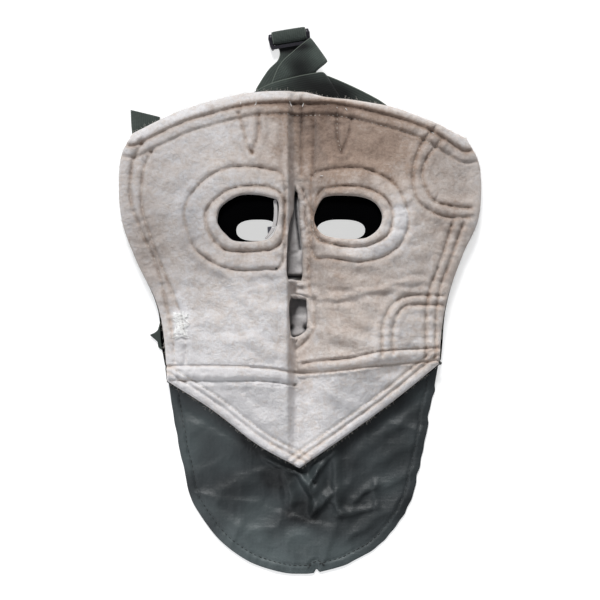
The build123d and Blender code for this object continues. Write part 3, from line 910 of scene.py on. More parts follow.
def make_felt():
    for side in ("left", "right"):
        loops = [face_loop(side, FELT_STEP, (NOSE_SLOT, MOUTH_SLOT)), resample(EYES[side], FELT_STEP)]
        face = cloth(f"felt_face_{side}", loops, felt_top, LINING, FELT_STEP, FELT_LOOK, 2.0,
                     felt_shade, felt_under)
        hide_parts(f"lining_{side}", f"temple_lining_{side}", f"eye_roll_{side}")
        bend_at_temple(face)
        loops = [chin_loop(side, FELT_STEP)]
        chin = cloth(f"felt_chin_{side}", loops, felt_top, LINING, FELT_STEP, FELT_LOOK, 2.0,
                     felt_shade, felt_under)
        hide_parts(f"chin_lining_{side}")
        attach(chin, "mask")


def make_shell():
    drop = LINING + PLY_GAP
    for side in ("left", "right"):
        face_edge = grown(face_loop(side, SHELL_STEP, (NOSE_SLOT, MOUTH_SLOT)))
        loops = [face_edge, resample(SHELL_EYES[side], SHELL_STEP * 0.6)]
        face = cloth(f"shell_face_{side}", loops, shifted(drop), SHELL, SHELL_STEP, SHELL_LOOK, 0.7,
                     inner=SHELL_SHADE_LOOK)
        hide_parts(f"shell_{side}", f"temple_shell_{side}")
        bend_at_temple(face)
        loops = [grown(chin_loop(side, SHELL_STEP))]
        chin = cloth(f"shell_chin_{side}", loops, shifted(drop), SHELL, SHELL_STEP, SHELL_LOOK, 0.7,
                     inner=SHELL_SHADE_LOOK)
        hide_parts(f"chin_shell_{side}")
        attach(chin, "mask")


def round_tube(name, line, radius, flatten, material, shade=None, sides=10, closed=True):
    """A tube along a line in space, flattened in height, with its ends closed unless it is a loop."""
    line = np.asarray(line, float)
    if closed:
        tangent = np.roll(line, -1, axis=0) - np.roll(line, 1, axis=0)
    else:
        tangent = np.gradient(line, axis=0)
    tangent /= np.linalg.norm(tangent, axis=1)[:, None]
    side = np.cross(tangent, (0, 0, 1.0))
    side /= np.linalg.norm(side, axis=1)[:, None] + 1e-9
    up = np.cross(side, tangent)
    radius = np.broadcast_to(radius, (len(line),))
    turn = np.linspace(0, 2 * pi, sides, endpoint=False)
    ring = (np.cos(turn)[None, :, None] * side[:, None] * radius[:, None, None]
            + np.sin(turn)[None, :, None] * up[:, None] * (radius * flatten)[:, None, None])
    verts = (line[:, None] + ring).reshape(-1, 3)
    count = len(line)
    faces = []
    for i in range(count if closed else count - 1):
        j = (i + 1) % count
        for k in range(sides):
            m = (k + 1) % sides
            faces.append((i * sides + k, i * sides + m, j * sides + m, j * sides + k))
    if not closed:
        faces.append(tuple(range(sides))[::-1])
        faces.append(tuple((count - 1) * sides + k for k in range(sides)))
    return object_from(name, verts, faces, material, shade(verts[:, :2]) if shade else None)


# ------------------------------------------------------------------ slot bindings, covers and anchors
COVERS = {"nose": [(-12.5, 82), (9.5, 82), (11.5, 48), (31, 22), (28.5, 11.5), (-24.5, 11.5), (-26.5, 24),
                   (-13.5, 46)],
          "mouth": [(-22.5, 4.4), (26.5, 4.4), (24.5, -21), (13.5, -39.5), (-13.5, -39.5), (-22.5, -21)]}
COVER_RISE = 4.0


BINDINGS = {"nose": [(-3.2, 85.6), (0.2, 80), (1.6, 70), (1.8, 57), (3.7, 41), (3.9, 22), (2.6, 13.4),
                              (-3, 12.4), (-9, 12.6)],
            "mouth": [(-7, 2.6), (-1, 2.8), (5.4, 2.0), (7.0, -3), (7.2, -21), (3.4, -26.6),
                      (-3.2, -30), (-7.2, -28)]}


def make_bindings():
    """The rolled edges of the nose and mouth slots, on the side that lies open."""
    for name, points in BINDINGS.items():
        line = smooth(points, FELT_STEP)
        along = np.arange(len(line)) * FELT_STEP
        lumps = noise(along, 0 * along, 5.0, 41)
        height = surface(line[:, 0], line[:, 1]) - 0.5 + 0.35 * lumps
        taper = np.clip(np.minimum(along, along[::-1]) / 5 + 0.45, 0, 1)
        thick = (2.25 + 0.3 * noise(along, 0 * along, 3.1, 42)) * taper
        tube = round_tube(f"{name}_slot_roll", np.column_stack([line, height]), thick, 0.85, FELT_LOOK,
                          felt_shade, closed=False)
        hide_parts(f"{name}_slot_binding")
        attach(tube, "mask")


COVER_STEP = 1.5


def cover_height(outline, level, wall_drop):
    """A cover's height: flat in the middle, up to the shell at its outline, with soft lumps."""
    def top(p):
        edge = distance(p, outline, closed=True)[0]
        rise = ease((COVER_RISE - edge) / COVER_RISE)
        roof = surface(p[:, 0], p[:, 1]) - wall_drop
        lumps = 0.5 * noise(p[:, 0], p[:, 1], 9.0, 51) + 0.25 * noise(p[:, 0], p[:, 1], 4.2, 52)
        return level + (roof - level) * rise + (lumps + 0.7) * (1 - rise) * 0.6
    return top


NOSE_SLIT = smooth([(-3.0, 82), (-3.1, 66), (-2.2, 57), (-0.8, 46), (0.1, 38)])


def lining_height(kind, outline):
    """The light lining behind a slot, puffed up into the opening and folded as it was sewn."""
    flat = cover_height(outline, 3.3, 5.3)
    slot_loop = NOSE_SLOT if kind == "nose" else MOUTH_SLOT

    def top(p):
        x, y = p[:, 0], p[:, 1]
        edge = distance(p, slot_loop, closed=True)[0]
        swell = np.where(inside(p, slot_loop), 0.5 + 0.5 * ease(edge / 1.6), 0.5 * ease(1 - edge / 3.0))
        z = flat(p)
        z += (5.9 - z) * np.clip(swell * 1.6, 0, 1) + 2.2 * swell
        z += 0.8 * noise(x, y, 5.0, 53) * swell
        if kind == "nose":
            z -= 4.5 * bell(distance(p, NOSE_SLIT)[0], 0.9)
            z -= 1.4 * bell(y - 36 - 0.3 * x, 1.8) * swell + 3.0 * ease((20.0 - y) / 3.0) * swell
        else:
            z -= 2.2 * ease((y + 13.0) / 3.0) * swell
            for hx in (-6.4, 4.0):
                z -= 4.0 * spot(x, y, hx, -20.5, 1.6, 2.2)
        return z
    return top


# Painted shade on the covers' lining: down the nose slit, in the gap under the nose slot, in the mouth holes
# and under the mouth slot's upper edge.
def lining_shade(p):
    slit = bell(distance(p, NOSE_SLIT)[0], 0.75 + 0.02 * np.clip(p[:, 1] - 40, 0, 40))
    gap = bell(p[:, 1] - 17.5, 1.3) * (np.abs(p[:, 0] + 4) < 9)
    holes = sum(spot(p[:, 0], p[:, 1], hx, -20.5, 1.7, 2.3) for hx in (-6.4, 4.0))
    dim = 0.30 * ease((p[:, 1] + 13.0) / 3.0) * (p[:, 1] < 4)
    return {"stain": np.clip(slit + gap + 0.8 * holes + dim, 0, 1)}


def make_covers():
    for name, corners in COVERS.items():
        outline = resample(straight(corners, 1.0, closed=True), COVER_STEP)
        drawn_in = np.array(corners) * 0.88 + np.mean(corners, axis=0) * 0.12
        inner = resample(straight(drawn_in, 1.0, closed=True), COVER_STEP)
        cover = cloth(f"{name}_cover_cloth", [outline], cover_height(outline, 1.1, 5.3), 1.0, COVER_STEP,
                      SHELL_LOOK, 0.7)
        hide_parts(f"{name}_cover")
        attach(cover, "mask")
        lining = cloth(f"{name}_cover_felt", [inner], lining_height(name, inner), 1.1, COVER_STEP * 0.7,
                       COVER_LINING_LOOK, 0.7, lining_shade)
        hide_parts(f"{name}_cover_lining")
        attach(lining, "mask")


def pulled_in(loop, centre, keep):
    """The loop's points, drawn towards the centre until they pass a test."""
    loop, centre = np.asarray(loop, float), np.asarray(centre, float)
    for _ in range(60):
        outside = ~keep(loop)
        if not outside.any():
            break
        loop[outside] = centre + (loop[outside] - centre) * 0.985
    return loop


def outside_fold(points, side, gap):
    sign = SIGN[side]
    (x0, y0), (x1, y1) = TEMPLE_FOLD
    run = hypot(x1 - x0, y1 - y0)
    return ((points[:, 0] * sign - x0) * -(y1 - y0) + (points[:, 1] - y0) * (x1 - x0)) / run > gap


def make_anchors():
    for side, sign in SIGN.items():
        angle = np.linspace(0, 2 * pi, 60, endpoint=False)
        oval = np.stack([sign * 110 + 21 * np.cos(angle), 93 + 29 * np.sin(angle)], axis=1)
        oval = pulled_in(oval, (sign * 112, 93), lambda p: inside(p, FELT) & outside_fold(p, side, 0.6))
        temple = cloth(f"temple_anchor_patch_{side}", [resample(oval, 2.4)], shifted(5.1), 0.9, 3.0,
                       SHELL_LOOK, 0.6)
        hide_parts(f"temple_anchor_{side}")
        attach(temple, f"{side}_temple")
        corners = [(sign * x, y) for x, y in ((62, -38), (62, -14), (70, -3), (88, 2), (103, 2), (99, -38))]
        patch = pulled_in(straight(corners, 2.4, closed=True), (sign * 82, -20), lambda p: inside(p, FELT))
        jaw = cloth(f"jaw_anchor_patch_{side}", [patch], shifted(5.1), 0.9, 3.0, SHELL_LOOK, 0.6)
        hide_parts(f"jaw_anchor_{side}")
        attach(jaw, "mask")


# ------------------------------------------------------------------ throat bib
BIB_SIDES = np.concatenate([
    smooth([(-97.5, -61), (-95, -80), (-92, -96), (-86.8, -122), (-81.5, -144), (-74.5, -158), (-60, -177),
            (-38, -193), (-14, -201), (3, -202.2), (10.6, -201.6)], 1.2),
    straight([(11.4, -199.6), (12.6, -198.4), (14.6, -200.9)], 1.0)[:-1],
    smooth([(14.6, -200.9), (26, -198), (38, -193.5), (59, -180.6), (79, -155), (88, -127), (93.6, -98),
            (98.6, -72), (102.6, -48.5)], 1.2)])
BIB_TOP = smooth([(100, -43.5), (68, -67), (35, -90), (0, -115), (-31, -99), (-64, -73), (-95, -55)], 1.5)
RIPPLE = noise(BIB_SIDES[:, 0] * 0.6 + BIB_SIDES[:, 1], 0 * BIB_SIDES[:, 0], 7.0, 68)
BIB_SIDES[:, 0] += np.where(BIB_SIDES[:, 0] > 60, 1.0, 0.35) * RIPPLE * (BIB_SIDES[:, 1] < -62)
BIB = np.concatenate([BIB_SIDES, BIB_TOP])
HEM_WIDTH = 6.4
BIB_STEP = 1.25
BIB_FOLDS = [
    # start x, y, end x, y, width, height: first the crumple under the chin point, then the long folds
    (-22, -119, -3, -128, 1.9, 2.6), (-3, -126, 7, -139, 2.6, 4.6), (8, -137, 12, -126, 1.9, 3.4),
    (12, -126, 24, -112, 3.2, 3.2), (-3, -128, 2, -137, 1.6, 2.2), (12, -126, 11, -152, 3.4, 2.6),
    (24, -112, 27, -142, 3.6, 2.3), (11, -154, 20, -146, 3.0, 2.5), (20, -146, 30, -156, 3.0, 2.0),
    (30, -158, 52, -154, 3.0, 1.5), (42, -146, 55, -138, 2.6, 1.6), (55, -138, 56, -150, 2.4, 1.0),
    (-10, -132, -6, -150, 3.4, 1.9), (-16, -152, 14, -161, 4.4, -1.5), (-30, -128, -58, -140, 5.0, 0.7),
    (-58, -118, -80, -128, 4.2, 0.7), (-40, -150, -70, -146, 4.6, 0.7), (-44, -108, -72, -96, 6.0, 1.0),
    (-60, -160, -30, -176, 5.0, 1.2), (-20, -170, 2, -190, 5.0, 0.9), (40, -172, 62, -158, 4.2, 1.2),
    (60, -118, 84, -104, 5.0, 1.2), (48, -110, 80, -84, 6.0, 1.1), (66, -136, 84, -128, 3.6, 1.0),
    (74, -92, 90, -98, 3.6, 0.9), (-84, -98, -64, -86, 5.0, 0.8), (-52, -186, -46, -170, 3.0, 0.8),
    (20, -186, 26, -168, 4.0, 0.9),
]


def fold_relief(p, folds, wander):
    """Soft ridges, each with a sharper side, and how near each point is to a crest."""
    x, y = p[:, 0], p[:, 1]
    z, crest = np.zeros(len(p)), np.zeros(len(p))
    for x0, y0, x1, y1, width, height in folds:
        width, height = 1.5 * width, 1.35 * height
        near = ((x > min(x0, x1) - 5 * width) & (x < max(x0, x1) + 5 * width)
                & (y > min(y0, y1) - 5 * width) & (y < max(y0, y1) + 5 * width))
        length = hypot(x1 - x0, y1 - y0)
        ux, uy = (x1 - x0) / length, (y1 - y0) / length
        t = (x[near] - x0) * ux + (y[near] - y0) * uy
        d = (x[near] - x0) * -uy + (y[near] - y0) * ux
        d = d + wander * noise(x[near], y[near], 8.0, 61)
        beyond = np.maximum(np.maximum(-t, t - length), 0)
        fade = bell(beyond, 1.6 * width)
        spread = np.where(d > 0, width, 0.55 * width)
        bump = bell(d, spread) * fade
        z[near] += height * bump
        crest[near] = np.maximum(crest[near], bump * min(1.0, height / 2.5))
    return z, crest


def bib_relief(p):
    x, y = p[:, 0], p[:, 1]
    z, crest = fold_relief(p, BIB_FOLDS, 1.5)
    ridged = 1 - np.abs(noise(x, y, 26.0, 62))
    fine = 1 - np.abs(noise(x, y, 11.0, 63))
    z += 1.5 * ridged**2 + 0.5 * fine**2 + 0.18 * noise(x, y, 5.0, 64)
    to_edge, along = distance(p, BIB_SIDES)
    pucker = noise(along, 0 * x, 5.0, 65) + 0.7 * noise(along, 0 * x, 2.4, 66)
    hem = bell(to_edge - HEM_WIDTH * 0.5, 3.6)
    z += 0.5 * hem * pucker + puff(to_edge, 0, HEM_WIDTH, 0.8) + groove(to_edge - HEM_WIDTH, 0.9, 1.0)
    z *= 0.25 + 0.75 * ease(to_edge / 9.0)
    # The second value is a painted highlight on the fold crests.
    return z, np.clip(crest + 0.25 * fine**3, 0, 1)


def bib_top(p):
    x, y = p[:, 0], p[:, 1]
    to_v = np.minimum(distance(p, V_LEFT)[0], distance(p, V_RIGHT)[0])
    under_felt = inside(p, FELT)
    z, _ = bib_relief(p)
    raised = np.where(under_felt, 1.0, ease(1 - to_v / 12.0))
    limit = surface(x, y) - LINING - PLY_GAP - SHELL - 0.5
    lying = 1.2 + z
    lying = np.where(under_felt, np.minimum(lying, limit), lying)
    near_v = np.clip(1 - to_v / 4.0, 0, 1)
    lying = lying * (1 - near_v) + np.minimum(lying, limit) * near_v
    return np.maximum(1.0, lying + (limit - lying) * raised * 0.9)


def bib_under(p):
    return np.maximum(bib_top(p) - 0.95, 0.02)


BIB_PAINTED_SHADING = [
    # middle x, y, reach across and up, how much lighter: painted light and shade, with painted reflections
    # low down and at the left, and painted shade in the folds under the chin point
    (-20, -190, 60, 24, 0.60), (-70, -112, 26, 34, 0.22), (3, -133, 8, 8, 0.30), (2, -159, 15, 9, -0.80),
    (-16, -130, 13, 8, -0.70), (34, -150, 18, 20, -0.35), (-40, -108, 22, 12, -0.30),
    (84, -130, 16, 40, -0.22), (-60, -140, 22, 14, -0.20),
]


def bib_shade(p):
    """Painted highlight on the fold crests, broad painted light and shade, and a painted shadow along the
    felt's lower edges.
    """
    x, y = p[:, 0], p[:, 1]
    tone = 0.42 + spots(x, y, BIB_PAINTED_SHADING) + 0.25 * noise(x, y, 17.0, 67)
    to_v = np.minimum(distance(p, V_LEFT)[0], distance(p, V_RIGHT)[0])
    # Painted shadow where the felt's lower edges lie over the bib.
    tone -= 0.35 * bell(to_v, 5.0)
    return {"crease": bib_relief(p)[1], "tone": np.clip(tone, 0, 1)}


def bend_at_throat(obj):
    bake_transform(obj)


def make_bib():
    loop = resample(BIB, BIB_STEP)
    bib = cloth("throat_bib", [loop], bib_top, 1.0, BIB_STEP, NYLON_LOOK, 0.8, bib_shade, bib_under)
    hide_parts("bib_upper", "bib_lower", "bib_hem_upper", "bib_hem_lower")
    bend_at_throat(bib)


# ------------------------------------------------------------------ webbing
STRAP_WIDTH = 25.0
SHADED = [
    # middle x, y, reach across and up, how much darker: painted shade, and painted highlight where below zero
    (0, 174, 11, 10, 0.6), (11, 159, 22, 8, 0.6), (-6, 189, 16, 3, 1.0), (28, 151, 12, 9, 0.9),
    (14, 184, 7, 9, -0.6), (-12, 169, 5, 6, -0.4), (-22, 158, 8, 6, -0.4),
]


def spline(stops, step):
    """A smooth line through points in space, sampled evenly enough for a ribbon."""
    p = np.array(stops, float)
    out = []
    for i in range(len(p) - 1):
        b, c = p[i], p[i + 1]
        a = p[i - 1] if i else 2 * b - c
        d = p[i + 2] if i + 2 < len(p) else 2 * c - b
        t = np.linspace(0, 1, step, endpoint=False)[:, None]
        out.append(0.5 * (2 * b + (c - a) * t + (2 * a - 5 * b + 4 * c - d) * t**2
                          + (3 * b - a - 3 * c + d) * t**3))
    out.append(p[-1:])
    return np.concatenate(out)


def ribbon(name, stations, thickness=1.2, samples=10):
    """Webbing between two edge lines. stations holds the edges' points, two at a time."""
    left = spline([a for a, _ in stations], samples)
    right = spline([b for _, b in stations], samples)
    across = np.linspace(0, 1, 15)
    grid = left[:, None] * (1 - across)[None, :, None] + right[:, None] * across[None, :, None]
    run = np.gradient(grid, axis=0)
    wide = np.gradient(grid, axis=1)
    normal = np.cross(wide, run)
    normal /= np.linalg.norm(normal, axis=2)[..., None] + 1e-9
    rows, columns = grid.shape[:2]
    middle = grid[:, columns // 2]
    along = np.concatenate([[0], np.cumsum(np.linalg.norm(np.diff(middle, axis=0), axis=1))])
    profile = np.sin(np.linspace(0, pi, columns)) ** 0.25
    half = thickness / 2 * profile[None, :, None]
    verts = np.concatenate([(grid + normal * half).reshape(-1, 3), (grid - normal * half).reshape(-1, 3)])
    size = rows * columns
    faces = []
    for i in range(rows - 1):
        for k in range(columns - 1):
            a, b = i * columns + k, i * columns + k + 1
            c, d = b + columns, a + columns
            faces += [(a, b, c, d), (size + d, size + c, size + b, size + a)]
        for k in (0, columns - 1):
            a, d = i * columns + k, (i + 1) * columns + k
            faces.append((a, d, size + d, size + a) if k == 0 else (d, a, size + a, size + d))
    for i in (0, rows - 1):
        for k in range(columns - 1):
            a, b = i * columns + k, i * columns + k + 1
            faces.append((b, a, size + a, size + b) if i == 0 else (a, b, size + b, size + a))
    place = np.tile((across - 0.5) * STRAP_WIDTH, rows * 2)
    length = np.tile(np.repeat(along, columns), 2)
    # Painted shade and highlight, from the SHADED spots.
    tone = 0.72 - spots(verts[:, 0], verts[:, 1], SHADED)
    strap = object_from(name, verts, faces, WEBBING_LOOK,
                        {"across": place, "along": length, "tone": np.clip(tone, 0.05, 1.0)})
    return strap


BACK_STRAP = [((-66, 128, 2.8), (-50, 109, 2.8)), ((-36, 152, 3.0), (-16, 136, 3.0)),
              ((-32.5, 159.5, 3.8), (-6, 150, 3.6)), ((-24, 173, 3.2), (0, 163, 3.2)),
              ((-16.5, 181, 2.7), (7, 172, 2.7)), ((-15.5, 188, 2.7), (9, 186, 2.7)),
              ((-19.6, 192.6, 2.7), (5.0, 196.2, 2.7)), ((-20.7, 198.6, 2.7), (3.9, 202.5, 2.7))]
FRONT_LOOP = [((-24, 152, 6.4), (2, 150, 6.4)), ((-21.5, 162, 8), (4, 160, 7.5)),
              ((-14.8, 176.5, 10.5), (8, 165, 9)), ((-4.5, 186, 12.6), (13, 171, 12)),
              ((4, 193, 12.8), (18, 175.5, 13)), ((7.6, 196, 10.8), (20.5, 178, 10.8)),
              ((4, 193, 8.9), (17, 175, 8.9)), ((-8, 184, 8.5), (5, 166, 8.3))]
LEFT_RUN = [((-44, 147, 5.6), (-38, 124, 5.6)), ((-35, 155, 8.0), (-30, 131, 6.6)),
            ((-22, 161.6, 10.5), (-20, 138, 6.6)), ((-4, 166.4, 12), (-2, 142, 6.6)),
            ((10, 169, 13), (16, 144, 8)), ((16.5, 169.8, 12.5), (26, 148, 8.5)),
            ((18.9, 168.6, 10.6), (30.5, 149.6, 7.8)), ((16, 168.8, 8.6), (26, 147.4, 6.6))]
RIGHT_RUN = [((15.5, 168.6, 8.4), (27, 147.5, 6.2)), ((22, 167.2, 9.0), (24, 141, 6.2)),
             ((40, 159.5, 8.4), (32, 134, 6.2)), ((57.5, 150.6, 7.8), (48, 127, 6.2)),
             ((66, 145, 6.8), (60, 120, 6.0))]
TEMPLE_STRAPS = {"left": [((-99, 84, 0), (-117, 74, 0)), ((-103, 110, 0), (-123, 104, 0)),
                          ((-104, 128, 0), (-126, 128, 0)), ((-104.5, 137, 0), (-127, 143, 0))],
                 "right": [((99, 84, 0), (117, 76, 0)), ((104, 104, 0), (122, 98, 0)),
                           ((107, 122, 0), (124, 115, 0))]}
JAW_STRAPS = {"left": ((0.0, -58.0, 1.1), (-101.0, -26.6, 1.1)),
              "right": ((97.0, -14.2, 2.6), (6.0, -62.0, 2.6))}
JAW_STRAP_END = [((-101.5, -37.5, 1.1), (-98.0, -13.5, 1.1)), ((-106.0, -31.0, 1.3), (-106.6, -22.6, 1.3)),
                 ((-111.5, -26.0, 1.3), (-111.6, -25.4, 1.3))]


def hung(stations, drop):
    """Edge points let down to lie that far under the lining's surface, and never under the floor."""
    return [tuple((x, y, max(float(surface(np.array(x), np.array(y))) - drop, 0.7)) for x, y, _ in pair)
            for pair in stations]


def make_straps():
    back = ribbon("crown_strap_back", BACK_STRAP)
    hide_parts("crown_strap_left")
    front = ribbon("crown_strap_front_loop", FRONT_LOOP)
    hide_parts("crown_strap_loop")
    left_run = ribbon("crown_strap_run_left", LEFT_RUN)
    right_run = ribbon("crown_strap_run_right", RIGHT_RUN)
    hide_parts("crown_strap_right")
    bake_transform(back)
    for piece in (front, left_run, right_run):
        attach(piece, "mask")
    for side, stations in TEMPLE_STRAPS.items():
        strap = ribbon(f"temple_strap_web_{side}", hung(stations, 7.0))
        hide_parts(f"temple_strap_{side}")
        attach(strap, f"{side}_temple")
    for side, (start, end) in JAW_STRAPS.items():
        start, end = np.array(start), np.array(end)
        along = (end - start) / np.linalg.norm(end - start)
        out = np.array((along[1], -along[0], 0)) * STRAP_WIDTH / 2
        stops = [start + (end - start) * t for t in (0, 0.3, 0.6, 1.0)]
        stations = [(tuple(p - out), tuple(p + out)) for p in stops]
        if side == "left":
            stations = stations[:-1] + JAW_STRAP_END
        strap = ribbon(f"jaw_strap_web_{side}", stations, 1.1)
        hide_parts(f"jaw_strap_{side}")
        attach(strap, "mask")


CROWN_BUCKLE = np.array((-7.8, 196.0))
CROWN_ALONG = np.array((-0.165, 0.9863))


def make_buckle_wrap():
    """The webbing's turn round the crown buckle's far bar."""
    side = np.array((CROWN_ALONG[1], -CROWN_ALONG[0]))
    path = [(4.7, 4.4), (6.5, 4.2), (7.3, 4.9), (6.6, 6.2), (3.4, 6.9), (0.4, 6.4), (-1.2, 5.4), (-1.6, 4.6)]
    stations = []
    for along, height in path:
        centre = CROWN_BUCKLE + CROWN_ALONG * along
        stations.append(((*(centre - side * 12.8), height), (*(centre + side * 12.8), height)))
    wrap = ribbon("crown_buckle_wrap", stations, 0.9, samples=5)
    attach(wrap, "crown_slide")
    stops = [(-5.4, 3.0), (-3.0, 3.4), (0.0, 3.7), (3.0, 4.0), (6.0, 4.2)]
    thick = np.array((1.0, 1.7, 2.0, 2.3, 1.5))
    for hand, sign in SIGN.items():
        out = side * sign * 13.6
        line = [(*(CROWN_BUCKLE + CROWN_ALONG * along + out), height) for along, height in stops]
        end = round_tube(f"crown_buckle_end_{hand}", line, thick, 0.9, BUCKLE_LOOK, closed=False)
        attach(end, "crown_slide")


# ------------------------------------------------------------------ thread, tacks and fibres
def tubes(name, paths, radius, material, sides=5):
    """Many short threads in one piece."""
    turn = np.linspace(0, 2 * pi, sides, endpoint=False)
    verts, faces, first = [], [], 0
    for path in paths:
        path = np.asarray(path, float)
        tangent = np.gradient(path, axis=0)
        tangent /= np.linalg.norm(tangent, axis=1)[:, None] + 1e-9
        side = np.cross(tangent, (0.12, 0.07, 1.0))
        side /= np.linalg.norm(side, axis=1)[:, None] + 1e-9
        up = np.cross(side, tangent)
        size = radius * np.sqrt(np.clip(1 - np.linspace(-0.86, 0.86, len(path)) ** 4, 0.1, 1))
        ring = path[:, None] + size[:, None, None] * (np.cos(turn)[None, :, None] * side[:, None]
                                                      + np.sin(turn)[None, :, None] * up[:, None])
        verts.append(ring.reshape(-1, 3))
        for i in range(len(path) - 1):
            for k in range(sides):
                a, b = first + i * sides + k, first + i * sides + (k + 1) % sides
                faces.append((a, b, b + sides, a + sides))
        faces.append(tuple(first + k for k in range(sides))[::-1])
        faces.append(tuple(first + (len(path) - 1) * sides + k for k in range(sides)))
        first += len(path) * sides
    return object_from(name, np.concatenate(verts), faces, material)


def stitch_paths(line, height, length, gap, lift, closed=False):
    """Short arched stitches along a plan line, on a surface given by height(points)."""
    loop = np.concatenate([line, line[:1]]) if closed else line
    runs = np.concatenate([[0], np.cumsum(np.linalg.norm(np.diff(loop, axis=0), axis=1))])
    starts = np.arange(0.6, runs[-1] - length, length + gap)
    steps = starts[:, None] + np.linspace(0, length, 4)[None, :]
    x, y = np.interp(steps, runs, loop[:, 0]), np.interp(steps, runs, loop[:, 1])
    z = height(np.column_stack([x.ravel(), y.ravel()])).reshape(x.shape)
    arch = np.array([-0.25, 0.12, 0.12, -0.25]) + lift
    return list(np.stack([x, y, z + arch[None, :]], axis=-1))


def offset_inside(line, depth):
    """A line moved sideways by a depth, to the left of its direction."""
    tangent = np.gradient(line, axis=0)
    tangent /= np.linalg.norm(tangent, axis=1)[:, None]
    return line + depth * np.stack([-tangent[:, 1], tangent[:, 0]], axis=1)


def make_stitches():
    lines = [(line, False) for key, line in STITCH_LINES.items() if key not in UNSEWN]
    lines += [(loop, True) for side in ("left", "right") for loop in (EYE_ROLLS[side], EYE_RINGS[side])]
    lines += [(offset_inside(TOP_EDGE, -depth), False) for depth in TOP_SEAMS]
    lines += [(offset_inside(line, depth), False) for line in (V_LEFT, V_RIGHT) for depth in V_SEAMS]
    paths = []
    for line, closed in lines:
        found = stitch_paths(line, felt_top, 2.0, 1.3, 0.12, closed)
        for path in found:
            middle = path.mean(0)[None, :2]
            open_slot = inside(middle, NOSE_SLOT)[0] or inside(middle, MOUTH_SLOT)[0]
            if inside(middle, FELT)[0] and not open_slot:
                paths.append(path)
    for side, sign in SIGN.items():
        mine = [p for p in paths if (p[:, 0].mean() - CENTRE_X) * sign > 0]
        stitches = tubes(f"felt_stitches_{side}", mine, 0.24, FELT_THREAD)
        bend_at_temple(stitches)
    hem_line = offset_inside(BIB_SIDES[4:-4], HEM_WIDTH)
    hem = tubes("bib_hem_stitches", stitch_paths(hem_line, bib_top, 2.7, 1.1, 0.2), 0.3, HEM_THREAD)
    bend_at_throat(hem)


THREAD_ENDS = [
    # start x, y, length, direction
    (-7.2, 147, 4.6, 1.5), (26.6, 142, 1.6, 0.6), (33, 141.5, 3.2, 0.8), (-32, 146, 3.4, 2.2),
    (-44, 146, 2.0, 1.8), (2.2, 146, 3.0, 1.5), (95, 116, 1.5, 0.4), (98, 124, 1.6, 1.0),
    (-20, 52, 2.0, 0.4), (14, 91, 3.6, 0.3),
]


def make_darning(rng):
    """White darning at the left side."""
    paths = []
    for _ in range(90):
        x, y = rng.uniform(-92.5, -82.5), rng.uniform(-28.5, -10)
        turn = rng.choice([0.2, 1.35, 1.9, 2.7]) + rng.normal(0, 0.3)
        reach = rng.uniform(1.2, 2.6)
        t = np.linspace(-1, 1, 5)
        px, py = x + reach * cos(turn) * t, y + reach * sin(turn) * t
        pz = felt_top(np.column_stack([px, py])) + 0.25 * (1 - t**2) + 0.1
        paths.append(np.column_stack([px, py, pz]))
    darning = tubes("side_darning", paths, 0.38, WHITE_THREAD)
    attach(darning, "mask")


def make_thread_ends():
    """Loose ends of white thread, most of them at the tacks of the forehead's darts and pleats."""
    ends = []
    for x, y, length, turn in THREAD_ENDS:
        t = np.linspace(0, 1, 7)
        px = x + length * t * cos(turn) + 0.5 * np.sin(3 * t + x)
        py = y - length * t * sin(turn) + 0.3 * np.cos(4 * t + y)
        pz = felt_top(np.column_stack([px, py])) + 0.4 + 0.7 * np.sin(pi * t)
        ends.append(np.column_stack([px, py, pz]))
    loose = tubes("loose_thread_ends", ends, 0.24, WHITE_THREAD)
    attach(loose, "mask")


def make_knots(rng):
    """Small tangles of dark thread at the right of the chin and beside the nose slot."""
    knots = []
    for x, y, count in ((103.2, -46.6, 9), (-17.5, 22.5, 3)):
        for _ in range(count):
            t = np.linspace(0, 1, 5)
            turn = rng.uniform(0, 2 * pi)
            px, py = x + 1.7 * t * cos(turn), y + 1.5 * t * sin(turn)
            pz = surface(px, py) + 0.5 + 0.9 * np.sin(pi * t)
            knots.append(np.column_stack([px, py, pz]))
    knot = tubes("dark_knots", knots, 0.32, OLIVE_THREAD)
    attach(knot, "mask")


def make_tacks():
    rng = np.random.default_rng(5)
    make_darning(rng)
    make_thread_ends()
    make_knots(rng)


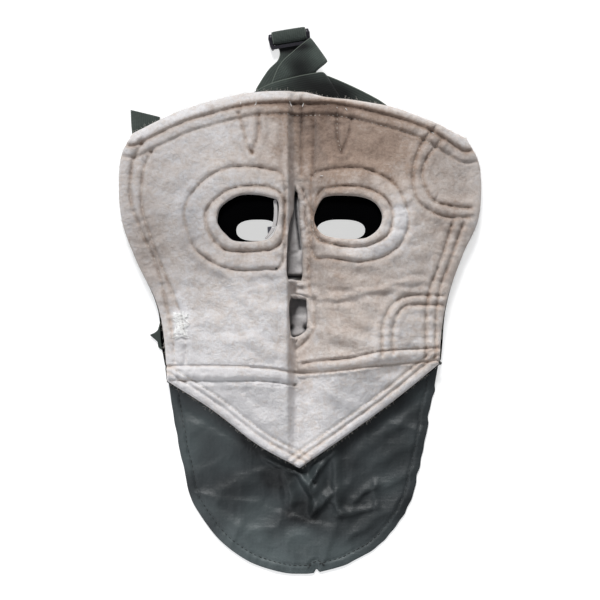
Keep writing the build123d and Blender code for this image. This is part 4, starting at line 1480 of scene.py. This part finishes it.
def make_fuzz():
    """Fibres that stand out of the felt's cut edges."""
    rng = np.random.default_rng(8)
    count = 600
    for side, sign in SIGN.items():
        edges = [TOP_RIM, LEFT_EDGE if side == "left" else RIGHT_EDGE, V_LEFT if side == "left" else V_RIGHT]
        points = np.concatenate(edges)
        points = points[(points[:, 0] - CENTRE_X) * sign > 1]
        centre = np.array((sign * 50.0, 20.0))
        paths = []
        for _ in range(count):
            start = points[rng.integers(len(points))] + rng.normal(0, 0.5, 2)
            out = start - centre
            out /= np.linalg.norm(out)
            turn = rng.normal(0, 0.8)
            out = np.array((out[0] * cos(turn) - out[1] * sin(turn), out[0] * sin(turn) + out[1] * cos(turn)))
            t = np.linspace(0, 1, 4)
            curl = rng.normal(0, 0.5, 2)
            plan = (start - out * 0.8) + np.outer(t, out) * rng.uniform(1.2, 2.6) + np.outer(t**2, curl)
            height = surface(start[0], start[1]) - rng.uniform(0.6, 2.8) + t * rng.uniform(-0.6, 0.9)
            paths.append(np.column_stack([plan, height]))
        fuzz = tubes(f"edge_fuzz_{side}", paths, 0.07, FELT_THREAD, sides=3)
        bend_at_temple(fuzz)


EYE_FOLD = smooth([(-17.2, 72.4), (-16.4, 66), (-16.6, 58), (-18.8, 50), (-22.4, 45.4), (-24.6, 43.6),
                   (-25.6, 44.6), (-23, 48), (-20.8, 52), (-19.4, 58), (-19.0, 66), (-19.4, 72)], closed=True)
EYE_TAB = straight([(-23.8, 52.6), (-20.6, 53), (-21.2, 47.2), (-23.6, 46.6)], 0.8, closed=True)


def make_eye_fold():
    """The turned-in edge of grey cloth and its dark tab, at the nose side of the left eye hole."""
    for name, loop, drop, look, slot in (("eye_fold_left", EYE_FOLD, 2.7, COVER_LINING_LOOK, "cover_lining"),
                                         ("eye_tab_left", EYE_TAB, 3.1, TAB_LOOK, "shell_cloth")):
        piece = cloth(name, [resample(loop, 0.8)], shifted(drop), 0.6, 0.8, look, 0.3)
        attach(piece, "mask")



make_shell()
make_felt()
make_bindings()
make_eye_fold()
make_covers()
make_anchors()
make_bib()
make_straps()
make_buckle_wrap()
make_stitches()
make_tacks()
make_fuzz()

LOOKS = {"crown_buckle": BUCKLE_LOOK, "jaw_buckle": BUCKLE_LOOK, "nose_stay": STAY_LOOK}
for name, look in LOOKS.items():
    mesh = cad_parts[name].data
    mesh.materials.clear()
    mesh.materials.append(look)
